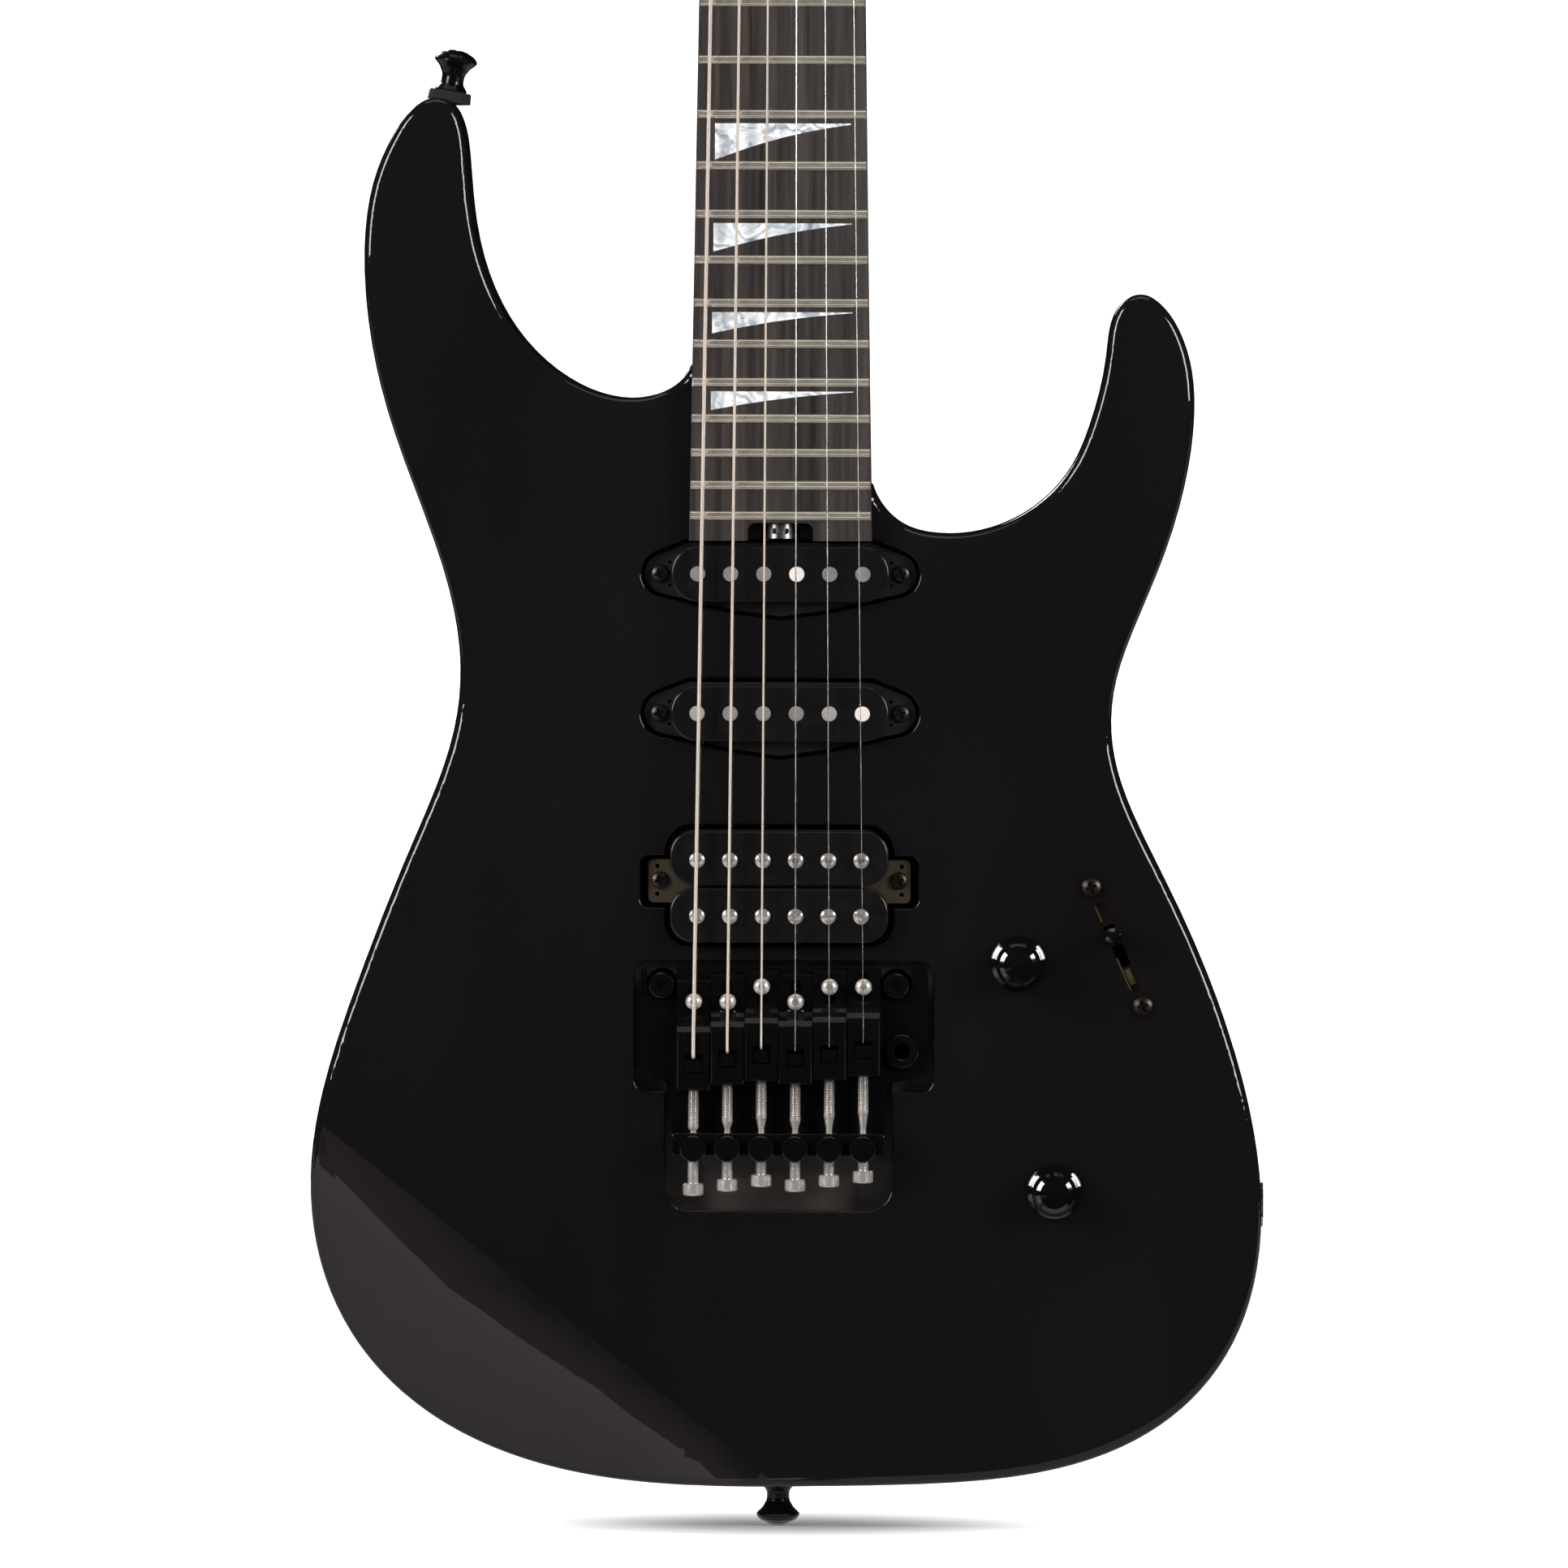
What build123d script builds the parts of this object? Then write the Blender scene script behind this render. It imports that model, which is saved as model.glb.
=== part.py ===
from build123d import *
import math
import os

# Electric guitar: neck-through, 24 frets, floating double-locking tremolo.
# Millimetres. +Z runs up the neck, the front faces -Y, +X is the treble side.
# The origin is the middle of the end strap button's post, on the body's
# mid-thickness plane. "Bass" and "treble" mean -X and +X throughout.

os.makedirs("parts", exist_ok=True)

# ---- driving dimensions ----
SCALE_LENGTH = 647.7
BRIDGE_Z = 149.0          # height of the bridge string line
NUT_Z = BRIDGE_Z + SCALE_LENGTH
NUT_END_Z = NUT_Z + 15.0
BODY_T = 40.0
FRONT_Y, BACK_Y = -BODY_T / 2, BODY_T / 2
EDGE_R = 3.0              # body edge round
CORE_HALF = 29.3          # half width of the neck-through core in the body

BOARD_T = 6.0             # fingerboard thickness at the centre line
BOARD_R = 350.0           # fingerboard radius
BOARD_END_Z = 303.0
BOARD_TOP_Y = FRONT_Y - BOARD_T
BOARD_AXIS_Y = BOARD_TOP_Y + BOARD_R
NUT_HALF = 21.45          # half width at the nut
TAPER = 0.01496           # half width growth per mm below the nut
FRET_COUNT = 24
FRET_W, FRET_H = 2.8, 1.2

BRIDGE_PITCH, NUT_PITCH = 10.7, 7.34                      # string spacings
STRING_R = [0.585, 0.457, 0.330, 0.216, 0.165, 0.127]     # bass to treble
STRING_GAP = 0.03         # between a string and what it rests against
NUT_STRING_Y = -27.5      # underside of the strings at the nut, centre line
BRIDGE_STRING_Y = -30.3   # the same at the bridge

HEAD_TILT = math.radians(12.0)
HEAD_T = 14.0
HEAD_Z = 813.0            # where the headstock face leaves the neck plane
TUNER_PITCH = 24.5

TREM_FRONT, TREM_BACK = -21.8, -18.8      # tremolo base plate faces
PIVOT_X, PIVOT_Z = 37.0, 162.7            # tremolo pivot posts
SADDLE_SHIFT = [-2.4, -0.7, 0.5, -0.4, 0.9, 2.2]
INTONATION_Z = [157.7, 157.7, 162.5, 157.7, 162.5, 162.5]
FINE_TUNER_Z = 111.6
BLOCK_SCREW_X, BLOCK_SCREW_Z = (-24, 0, 24), 143.5
SPRING_X, SPRING_Y = (-18.0, 0.0, 18.0), 9.5
CLAW_SCREW_X, CLAW_SCREW_Y = 15.0, 10.0

VOLUME = (75.5, 170.0)    # x, z
TONE = (87.2, 97.9)       # x, z
SWITCH_SCREWS = ((98.5, 194.0), (114.9, 156.6))           # x, z: upper, lower
JACK_Z = 93.0
JACK_SEAT_X = 150.6
COVER_T = 2.0             # back cover thickness
COVER_GAP = 0.02          # between a back cover and its rebate floor

SINGLE_Z = (292.5, 248.5)                 # neck and middle pickup
SINGLE_SCREW_X = 38.2
HUM_POLE_Z = (202.2, 184.6)               # pole rows of the bridge pickup
HUM_COIL_Z = (202.9, 184.85)              # coil centres of the bridge pickup
HUM_Z = 193.9
HUM_SCREW_X, HUM_SCREW_Z = 37.8, 195.7

SIDES = (-1, 1)           # bass, treble
TO_TREBLE, UP_NECK = (1, 0, 0), (0, 0, 1)
TO_FRONT, TO_BACK = (0, -1, 0), (0, 1, 0)


# ---- helpers ----
def plane_at(p, normal):
    """Plane through p whose local x runs along +X."""
    return Plane(origin=p, x_dir=(1, 0, 0), z_dir=normal)


def slab(sketch, y0, y1):
    """Extrude a sketch drawn in X,Z between two Y levels."""
    return extrude(plane_at((0, y1, 0), TO_FRONT) * sketch, amount=y1 - y0, dir=TO_FRONT)


def box(x0, x1, y0, y1, z0, z1):
    centre = Pos((x0 + x1) / 2, (y0 + y1) / 2, (z0 + z1) / 2)
    return centre * Box(x1 - x0, y1 - y0, z1 - z0)


def cyl(p, axis, r, h):
    """Cylinder from point p along axis."""
    base = (Align.CENTER, Align.CENTER, Align.MIN)
    return Plane(origin=p, z_dir=axis) * Cylinder(r, h, align=base)


def ycyl(x, z, r, y0, y1):
    return cyl((x, y0, z), TO_BACK, r, y1 - y0)


def rod(p, q, r):
    v = Vector(*q) - Vector(*p)
    return cyl(tuple(p), tuple(v), r, v.length)


def rrect(x, z, w, h, r):
    return Pos(x, z) * RectangleRounded(w, h, r)


def poly(points):
    return Polygon(*points, align=None)


def round_poly(points, r):
    sketch = poly(points)
    return fillet(sketch.vertices(), r)


def grow(points, d):
    """Move each point by d away from the mean of all points."""
    cx = sum(p[0] for p in points) / len(points)
    cz = sum(p[1] for p in points) / len(points)
    grown = []
    for x, z in points:
        reach = math.hypot(x - cx, z - cz)
        grown.append((x + d * (x - cx) / reach, z + d * (z - cz) / reach))
    return grown


def turned(profile, p, axis):
    """Revolve an (r, h) profile about an axis through p."""
    base = Plane(origin=p, z_dir=axis)
    side = Plane(origin=p, x_dir=base.x_dir, z_dir=-base.y_dir)
    return revolve(side * poly(profile), axis=Axis(p, axis))


def hex_socket(p, axis, across, depth):
    sketch = Plane(origin=p, z_dir=axis) * RegularPolygon(across / math.sqrt(3), 6)
    return extrude(sketch, amount=depth)


def cross(length, width):
    return Rectangle(length, width) + Rectangle(width, length)


def front_edges(shape):
    return shape.faces().sort_by(Axis.Y)[0].edges()


def soften(shape, edges, size, flat=False):
    """Fillet the edges, or chamfer them when flat."""
    for factor in (1.0, 0.6, 0.35):
        # The kernel may refuse the full size: try a smaller one, else leave sharp.
        try:
            cut = chamfer if flat else fillet
            out = cut(list(edges), size * factor)
            if out.volume > 0:
                return out
        except Exception:
            pass
    return shape


def spread(pitch):
    """Six x places at a pitch, centred on the centre line."""
    return [(i - 2.5) * pitch for i in range(6)]


def arch(x):
    """Drop of the fingerboard radius at x from its crown."""
    return x * x / (2 * BOARD_R)


def half_w(z):
    """Neck half width at height z."""
    return NUT_HALF + TAPER * (NUT_Z - z)


def fret_z(n):
    return BRIDGE_Z + SCALE_LENGTH / 2 ** (n / 12)


def solids_of(shapes):
    out = []
    for s in shapes:
        out += solids_of(s) if isinstance(s, (list, tuple)) else list(s.solids())
    return out


def save(name, *shapes):
    solids = solids_of(shapes)
    part = solids[0] if len(solids) == 1 else Compound(solids)
    export_step(part, "parts/%s.step" % name)


BRIDGE_X = spread(BRIDGE_PITCH)
NUT_X = spread(NUT_PITCH)

# ---- body blank ----
# body outline: x, z above the bridge line, from the bass side of the neck
# round the tail to the treble side
OUTLINE = [
    (-28.4, 209.6), (-33.45, 203.41), (-41.22, 199.72), (-51.24, 199.21), (-62.6, 202.49),
    (-74.11, 209.8), (-84.18, 220.55), (-91.8, 234.15), (-96.89, 251.21), (-99.47, 273.63),
    (-102.0, 287.59), (-105.49, 292.55), (-110.48, 293.55), (-116.26, 290.78),
    (-122.78, 282.16), (-128.92, 267.71), (-131.7, 251.09), (-131.22, 228.67),
    (-127.25, 204.92), (-120.23, 181.89), (-111.71, 159.34), (-104.39, 136.6),
    (-101.27, 117.11), (-102.02, 99.66), (-106.82, 80.93), (-115.86, 58.63),
    (-124.95, 36.32), (-133.42, 13.76), (-141.13, -9.07), (-146.52, -32.18),
    (-147.98, -52.77), (-145.81, -71.33), (-140.32, -88.02), (-131.69, -102.78),
    (-119.95, -115.61), (-104.97, -126.44), (-86.68, -134.97), (-64.76, -140.95),
    (-40.87, -144.0), (-16.79, -144.89), (7.3, -144.78), (31.4, -144.31), (55.47, -143.3),
    (79.4, -140.58), (100.29, -135.24), (116.63, -127.58), (129.76, -117.58),
    (139.94, -105.35), (147.19, -90.91), (151.46, -73.93), (152.5, -53.84), (149.84, -30.53),
    (144.06, -7.15), (136.08, 15.58), (126.41, 37.64), (115.68, 59.22), (107.54, 78.81),
    (104.7, 93.92), (105.68, 108.14), (111.47, 126.15), (120.58, 148.46), (127.44, 171.5),
    (130.41, 192.87), (129.53, 208.95), (125.6, 221.0), (119.67, 229.2), (114.24, 232.14),
    (109.3, 230.97), (105.22, 226.09), (102.77, 213.69), (97.96, 192.19), (92.12, 178.33),
    (84.19, 168.44), (73.69, 161.16), (61.35, 156.98), (48.95, 156.41), (38.97, 159.1),
    (33.18, 163.83), (28.9, 171.6),
]
WALL_PIECES = 12
# forearm bevel profile: distance outwards, depth below the front
BEVEL = [(-6, -0.25), (5, 0.12), (15, 1.3), (28, 4.4), (45, 9.6), (75, 19.5)]
BEVEL_OUT = Vector(-96.4, 0, -123.0).normalized()
BEVEL_ALONG = Vector(123.0, 0, -96.4).normalized()


def forearm_bevel():
    plane = Plane(origin=(-85.0, FRONT_Y, 75.6), x_dir=BEVEL_OUT, z_dir=BEVEL_ALONG)
    closing = Polyline(BEVEL[-1], (75, -8), (-6, -8), BEVEL[0])
    return extrude(plane * make_face(Spline(*BEVEL) + closing), amount=220, both=True)


def rim_edges(blank, outline):
    """Edges on the outline wall, without its vertical seams and the closing line."""
    samples = [outline @ (k / 1500) for k in range(1501)]
    rim = [(p.X, p.Y) for p in samples]
    found = []
    for e in blank.edges():
        a, b, mid = e @ 0, e @ 1, e @ 0.5
        on_front = abs(a.Y - FRONT_Y) < 0.3 and abs(b.Y - FRONT_Y) < 0.3
        straight_on_front = on_front and e.geom_type == GeomType.LINE
        seam = abs(a.X - b.X) < 1e-3 and abs(a.Z - b.Z) < 1e-3
        off_wall = min(math.hypot(mid.X - x, mid.Z - z) for x, z in rim)
        if not straight_on_front and not seam and off_wall < 0.6:
            found.append(e)
    return found


def body_blank():
    outline = Spline(*[(x, z + BRIDGE_Z) for x, z in OUTLINE])
    pieces = [outline.edge().trim(i / WALL_PIECES, (i + 1) / WALL_PIECES)
              for i in range(WALL_PIECES)]
    closing = Line(outline @ 1, outline @ 0)
    blank = slab(make_face(Wire(pieces + [closing.edge()])), FRONT_Y, BACK_Y)
    blank -= forearm_bevel()
    # waist scoop on the back
    blank -= Pos(-150, BACK_Y + 147, BRIDGE_Z + 112) * Sphere(165)
    blank = fillet(rim_edges(blank, outline), EDGE_R)
    # heel scoop on the back, where the neck leaves the body
    blank -= Pos(-6, BACK_Y + 95.2, BRIDGE_Z + 240) * Sphere(121.2)
    return blank


# ---- cavities and holes ----
OVER_FRONT, OVER_BACK = FRONT_Y - 1, BACK_Y + 1     # cutters start outside the body
CAVITY_FRONT_Y = -13                # control holes run through to here
PICKUP_FLOOR_Y = -3.0
SLOT_HALF = 33.6                    # tremolo through slot
SLOT_Z = (122, 156.5)
SPRING_CAVITY_Y = 4.0
SPRING_COVER_Z = 209
# control cavity corners: x, z
CONTROL = [(62, 207), (106, 207), (117, 188), (128, 156), (138, 112), (138, 82), (112, 68),
           (80, 74), (62, 100), (52, 150)]
PICKUP_SCREWS = [(s * SINGLE_SCREW_X, z) for z in SINGLE_Z for s in SIDES]
PICKUP_SCREWS += [(s * HUM_SCREW_X, HUM_SCREW_Z) for s in SIDES]
SPRING_COVER_SCREWS = [(s * 33.6, SPRING_COVER_Z + dz) for s in SIDES for dz in (-90, 0, 90)]
CONTROL_COVER_SCREWS = [grow(CONTROL, 1.7)[k] for k in (0, 1, 3, 5, 7, 9)]

(UPPER_X, UPPER_Z), (LOWER_X, LOWER_Z) = SWITCH_SCREWS
SWITCH_X, SWITCH_Z = (UPPER_X + LOWER_X) / 2, (UPPER_Z + LOWER_Z) / 2
SWITCH_ALONG = Vector(LOWER_X - UPPER_X, 0, LOWER_Z - UPPER_Z).normalized()
SWITCH_ACROSS = Vector(-SWITCH_ALONG.Z, 0, SWITCH_ALONG.X)

HORN_BASE = Vector(-105.5, 0, 444.9)       # strap button seat on the bass horn
HORN_ANGLE = math.radians(9.5)
HORN_AXIS = Vector(math.sin(HORN_ANGLE), 0, math.cos(HORN_ANGLE))

WHEEL_Y = -17.2                            # truss rod line


def single_outline(z, margin=0.0):
    """Rounded ears, straight top and a shallow belly, as one smooth outline."""
    circles = [Pos(s * 36.4, 0) * Circle(6.4 + margin) for s in SIDES]
    circles += [Pos(s * 28.0, 4.2) * Circle(5.6 + margin) for s in SIDES]
    belly_r = 7.0
    for x in (-12.0, 0.0, 12.0):
        circles.append(Pos(x, -13.4 + belly_r + 0.012 * x * x) * Circle(belly_r + margin))
    return Pos(0, z) * make_hull([e for c in circles for e in c.edges()])


def pickup_cavities():
    cuts = [slab(single_outline(z, 1.2), OVER_FRONT, PICKUP_FLOOR_Y) for z in SINGLE_Z]
    hum = rrect(0, HUM_Z, 72.2, 38.8, 8.6) + rrect(0, 195.3, 88, 16.6, 3.0)
    return cuts + [slab(hum, OVER_FRONT, PICKUP_FLOOR_Y)]


def tremolo_cavities():
    """Front recesses, through slot, and the spring cavity with its cover rebate."""
    tail = [(-35.8, 91.1), (-35.8, 140), (35.8, 140), (35.8, 91.1)]
    return [
        slab(rrect(1.55, 149.5, 94.1, 41.6, 4.2), OVER_FRONT, -10.0),
        slab(round_poly(tail, 8.5), OVER_FRONT, -7.0),
        box(-SLOT_HALF, SLOT_HALF, -12, OVER_BACK, *SLOT_Z),
        slab(rrect(0, SPRING_COVER_Z, 58, 174, 8), SPRING_CAVITY_Y, OVER_BACK),
        box(-SLOT_HALF, SLOT_HALF, SPRING_CAVITY_Y, OVER_BACK, *SLOT_Z),
        slab(rrect(0, SPRING_COVER_Z, 74, 192, 9), BACK_Y - COVER_T, OVER_BACK),
    ]


def control_cavities():
    cuts = [
        slab(round_poly(CONTROL, 6.0), -14.0, OVER_BACK),
        slab(round_poly(grow(CONTROL, 7.0), 9.0), BACK_Y - COVER_T, OVER_BACK),
    ]
    for x, z in (VOLUME, TONE):
        cuts.append(ycyl(x, z, 4.8, OVER_FRONT, CAVITY_FRONT_Y))
    tilt = math.degrees(math.atan2(SWITCH_ALONG.Z, SWITCH_ALONG.X))
    slot = Pos(SWITCH_X, SWITCH_Z) * Rot(0, 0, tilt) * SlotOverall(30.8, 3.6)
    cuts.append(slab(slot, OVER_FRONT, CAVITY_FRONT_Y))
    for x, z in SWITCH_SCREWS:
        cuts.append(ycyl(x, z, 1.75, OVER_FRONT, CAVITY_FRONT_Y))
    cuts.append(cyl((130, 0, JACK_Z), TO_TREBLE, 4.8, 40))
    cuts.append(cyl((JACK_SEAT_X, 0, JACK_Z), TO_TREBLE, 10.4, 10))
    return cuts


def hardware_holes():
    """Insert seats and pilot holes."""
    cuts = []
    for s in SIDES:
        cuts.append(ycyl(s * PIVOT_X, PIVOT_Z, 5.0, -12, 8.0))
        cuts.append(cyl((s * CLAW_SCREW_X, CLAW_SCREW_Y, 290), UP_NECK, 1.9, 30))
    for x, z in PICKUP_SCREWS:
        cuts.append(ycyl(x, z, 1.2, -4, 1.2))
    for x, z in SPRING_COVER_SCREWS + CONTROL_COVER_SCREWS:
        cuts.append(ycyl(x, z, 1.1, 8.5, BACK_Y))
    # strap button screws
    cuts.append(cyl((0, 0, -6), UP_NECK, 2.2, 34))
    cuts.append(cyl(tuple(HORN_BASE - HORN_AXIS * 24), tuple(HORN_AXIS), 2.2, 40))
    return cuts


def truss_rod_cuts():
    """Rod channel and wheel pocket."""
    return [box(-3.1, 3.1, -21, -13.2, 309.0, 783), box(-6.2, 6.2, -21, -11.4, 303.3, 309.1)]


def front_rims(body):
    """Rims of the pickup and tremolo cavities on the front face."""
    found = []
    for e in body.edges():
        a, b, mid = e @ 0, e @ 1, e @ 0.5
        on_front = max(abs(p.Y - FRONT_Y) for p in (a, b, mid)) < 1e-3
        central = abs(mid.X) < 50 and 90 < mid.Z < 302 and max(a.Z, b.Z) < 303.4
        if on_front and central:
            found.append(e)
    return found


CUTS = (pickup_cavities() + tremolo_cavities() + control_cavities() + hardware_holes()
        + truss_rod_cuts())
body = body_blank()
for cut in CUTS:
    body -= cut
body = soften(body, front_rims(body), 0.6)

core_body = body & box(-CORE_HALF, CORE_HALF, -60, 60, -20, 500)
wing_bass = body & box(-200, -CORE_HALF, -60, 60, -20, 500)
wing_treble = body & box(CORE_HALF, 200, -60, 60, -20, 500)
save("body_wing_bass", wing_bass)
save("body_wing_treble", wing_treble)

# ---- neck ----
# z, depth behind the front face, superellipse exponent: a D shape at the
# nut that swells into a boxy heel inside the body
NECK_STATIONS = [
    (HEAD_Z, 14.2, 2.5), (770, 14.4, 2.3), (700, 14.8, 2.25), (600, 15.4, 2.25),
    (500, 16.2, 2.3), (430, 17.0, 2.4), (395, 18.6, 2.6), (370, 22.0, 2.9),
    (348, 27.0, 3.3), (325, 32.0, 3.8), (300, 35.5, 4.2), (285, 36.5, 4.4),
]
SECTION_STEPS = 9


def neck_section(z, depth, exponent):
    w = half_w(z)
    points = []
    for k in range(SECTION_STEPS + 1):
        angle = math.pi * k / SECTION_STEPS
        c, s = math.cos(angle), math.sin(angle)
        x = math.copysign(abs(c) ** (2 / exponent), c) * w
        inner = 0 < k < SECTION_STEPS
        points.append((x, FRONT_Y + depth * abs(s) ** (2 / exponent) if inner else FRONT_Y))
    wire = Spline(*points, tangents=[(0, 1), (0, -1)]) + Line(points[-1], points[0])
    return plane_at((0, 0, z), UP_NECK) * make_face(wire)


neck = loft([neck_section(*station) for station in NECK_STATIONS])
for cut in CUTS:
    neck -= cut

# ---- headstock: flat six-in-line paddle tilted back ----
HEAD = plane_at((0, FRONT_Y, HEAD_Z), (0, -math.cos(HEAD_TILT), math.sin(HEAD_TILT)))
HEAD_N = tuple(HEAD.z_dir)
TUNER_SLOPE = 0.285                       # x per unit along the tuner edge
TUNER_ALONG = Vector(TUNER_SLOPE, 1).normalized()
TUNER_OUT = Vector(-TUNER_ALONG.Y, TUNER_ALONG.X)     # towards the bass side
POST_R = 3.0
FIRST_POST = 34.0                         # along the headstock
POSTS = [(NUT_X[i] * 0.96 - POST_R - STRING_R[i] - STRING_GAP, FIRST_POST + TUNER_PITCH * i)
         for i in range(6)]
RETAINER_X, RETAINER_ALONG = 13.0, 15.0
RETAINER_H = 3.4                          # underside of the bar above the face


def head_point(x, along, h):
    """Point on the headstock: x across, along it, h in front of its face."""
    return tuple(HEAD.origin + HEAD.x_dir * x + HEAD.y_dir * along + HEAD.z_dir * h)


def head_dir(v):
    return tuple(HEAD.x_dir * v.X + HEAD.y_dir * v.Y)


def headstock():
    bass = Spline((-21.2, 0), (-22.6, 9), (-27.6, 18), (-33.6, 27.5), (-31.6, 45),
                  tangents=[(0, 1), (TUNER_SLOPE, 1)])
    tuner_edge = Line((-31.6, 45), (0.9, 159))
    tip = Spline((0.9, 159), (7.0, 172), (18.5, 178.5), (29.0, 170), (31.4, 150),
                 tangents=[(TUNER_SLOPE, 1), (0, -1)])
    treble = Spline((31.4, 150), (29.4, 110), (25.6, 60), (22.2, 20), (21.2, 0),
                    tangents=[(0, -1), (0, -1)])
    sketch = make_face(bass + tuner_edge + tip + treble + Line((21.2, 0), (-21.2, 0)))
    head = extrude(HEAD * sketch, amount=HEAD_T, dir=-HEAD.z_dir)
    long_edges = [e for e in head.edges() if e.length > 30 and abs((e @ 0 - e @ 1).Z) > 8]
    head = soften(head, long_edges, 1.6)
    for x, along in POSTS:
        head -= cyl(head_point(x, along, -HEAD_T - 1), HEAD_N, 5.0, HEAD_T + 2)
    for s in SIDES:
        head -= cyl(head_point(s * RETAINER_X, RETAINER_ALONG, -9), HEAD_N, 1.5, 10)
    return head


save("neck_core", core_body + neck + headstock())

# ---- fingerboard, frets, markers ----
FRET_ARC = 10.4                           # degrees about the board's radius axis
# fret number: length of the wedge inlay below it
INLAYS = {3: 23.0, 5: 20.5, 7: 18.5, 9: 16.5, 12: 14.0, 15: 11.5, 17: 9.0, 19: 6.7, 21: 5.9}
# lower edge of an inlay: fraction of its width, fraction of its length
INLAY_EDGE = [(0, 1.0), (0.19, 0.74), (0.39, 0.50), (0.61, 0.29), (0.81, 0.14), (1.0, 0.03)]
# inlay side places where the board's half width is INLAY_REF
INLAY_BASS, INLAY_TREBLE, INLAY_REF = -21.5, 22.2, 27.4
INLAY_BACK_Y = BOARD_TOP_Y + 1.4
SIDE_DOTS = [*INLAYS, 24]

radius_cyl = cyl((0, BOARD_AXIS_Y, 100), UP_NECK, BOARD_R, 900)
board_end_half = half_w(BOARD_END_Z)
board_sketch = poly([(-board_end_half, BOARD_END_Z), (board_end_half, BOARD_END_Z),
                     (NUT_HALF, NUT_Z - 0.1), (-NUT_HALF, NUT_Z - 0.1)])


def fret(n):
    z = fret_z(n)
    half = half_w(z)
    crown = []
    for k in range(9):
        angle = math.pi * k / 8
        crown.append((FRET_W / 2 * math.cos(angle), BOARD_TOP_Y - FRET_H * math.sin(angle)))
    side = Plane(origin=(0, 0, z), x_dir=(0, 0, 1), z_dir=(-1, 0, 0))
    section = side * make_face(Spline(*crown) + Line(crown[-1], crown[0]))
    axis = Axis((0, BOARD_AXIS_Y, 0), UP_NECK)
    ring = revolve(section, axis=axis, revolution_arc=FRET_ARC)
    ring = ring.rotate(axis, -FRET_ARC / 2)
    # bevelled ends
    foot, tip = half - 0.1, half - 1.5
    shoulder_y, tip_y = BOARD_TOP_Y + 0.9, BOARD_TOP_Y - 2.0
    ends = poly([(-foot, FRONT_Y), (foot, FRONT_Y), (foot, shoulder_y), (tip, tip_y),
                 (-tip, tip_y), (-foot, shoulder_y)])
    return ring & extrude(plane_at((0, 0, z - 3), UP_NECK) * ends, amount=6, dir=UP_NECK)


def inlay(n, length, shell):
    top = fret_z(n - 1) - 2.9
    left = INLAY_BASS * half_w(top) / INLAY_REF
    right = INLAY_TREBLE * half_w(top) / INLAY_REF
    low = [(left + (right - left) * f, top - length * d) for f, d in INLAY_EDGE]
    sketch = make_face(Spline(*low) + Polyline(low[-1], (right, top), (left, top), low[0]))
    return slab(sketch, FRONT_Y - 8, INLAY_BACK_Y) & shell


def side_dots(n):
    """Dots in the bass edge of the board: two at frets 12 and 24."""
    middle = (fret_z(n) + fret_z(n - 1)) / 2
    places = [middle + dz for dz in ((-3, 3) if n in (12, 24) else (0,))]
    return [cyl((-half_w(z) + 1.6, FRONT_Y - 2.4, z), (-1, 0, 0), 1.0, 1.6) for z in places]


save("frets", [fret(n) for n in range(1, FRET_COUNT + 1)])

inlay_shell = slab(board_sketch, FRONT_Y - 8, INLAY_BACK_Y) & radius_cyl
markers = [inlay(n, length, inlay_shell) for n, length in INLAYS.items()]
for n in SIDE_DOTS:
    markers += side_dots(n)
board = slab(board_sketch, FRONT_Y - 8, FRONT_Y) & radius_cyl
# notch over the truss rod wheel
board -= slab(rrect(0, BOARD_END_Z, 20.6, 11.4, 2.6), FRONT_Y - 9, FRONT_Y + 1)
for marker in markers:
    board -= marker
save("fingerboard", board)
save("position_markers", markers)


# ---- truss rod and its adjuster wheel ----
def truss_wheel():
    wheel = cyl((0, WHEEL_Y, 303.7), UP_NECK, 5.1, 4.7)
    wheel -= cyl((0, WHEEL_Y, 303), UP_NECK, 1.86, 7)
    for k in range(8):
        angle = math.radians(45 * k + 22.5)
        c, s = math.cos(angle), math.sin(angle)
        wheel -= cyl((3.1 * c, WHEEL_Y + 3.1 * s, 306.05), (c, s, 0), 0.9, 4)
    return wheel


save("truss_rod", cyl((0, WHEEL_Y, 309.2), UP_NECK, 2.4, 470)
     + cyl((0, WHEEL_Y, 303.9), UP_NECK, 1.8, 6))
save("truss_rod_wheel", truss_wheel())

# ---- locking nut and string retainer ----
NUT_FRONT_Y = -27.85
CLAMP_X = [-2 * NUT_PITCH, 0.0, 2 * NUT_PITCH]
CLAMP_Z = NUT_Z + 8.0
CLAMP_FRONT_Y, CLAMP_BACK_Y = -32.0, -28.7


def nut_y(i):
    """Centre of string i at the nut."""
    return NUT_STRING_Y + arch(NUT_X[i]) - STRING_R[i]


def nut_base():
    base = (box(-21.3, 21.3, NUT_FRONT_Y - 2, FRONT_Y, NUT_Z, NUT_END_Z)
            & cyl((0, NUT_FRONT_Y + BOARD_R, 700), UP_NECK, BOARD_R, 200))
    for i, x in enumerate(NUT_X):
        groove = STRING_R[i] + STRING_GAP
        base -= cyl((x, nut_y(i), NUT_Z - 1), UP_NECK, groove, 20)
        base -= box(x - groove, x + groove, -32, nut_y(i), NUT_Z - 1, NUT_END_Z + 1)
    for x in CLAMP_X:
        base -= ycyl(x, CLAMP_Z, 1.6, -33, -21.5)
    return base


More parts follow.
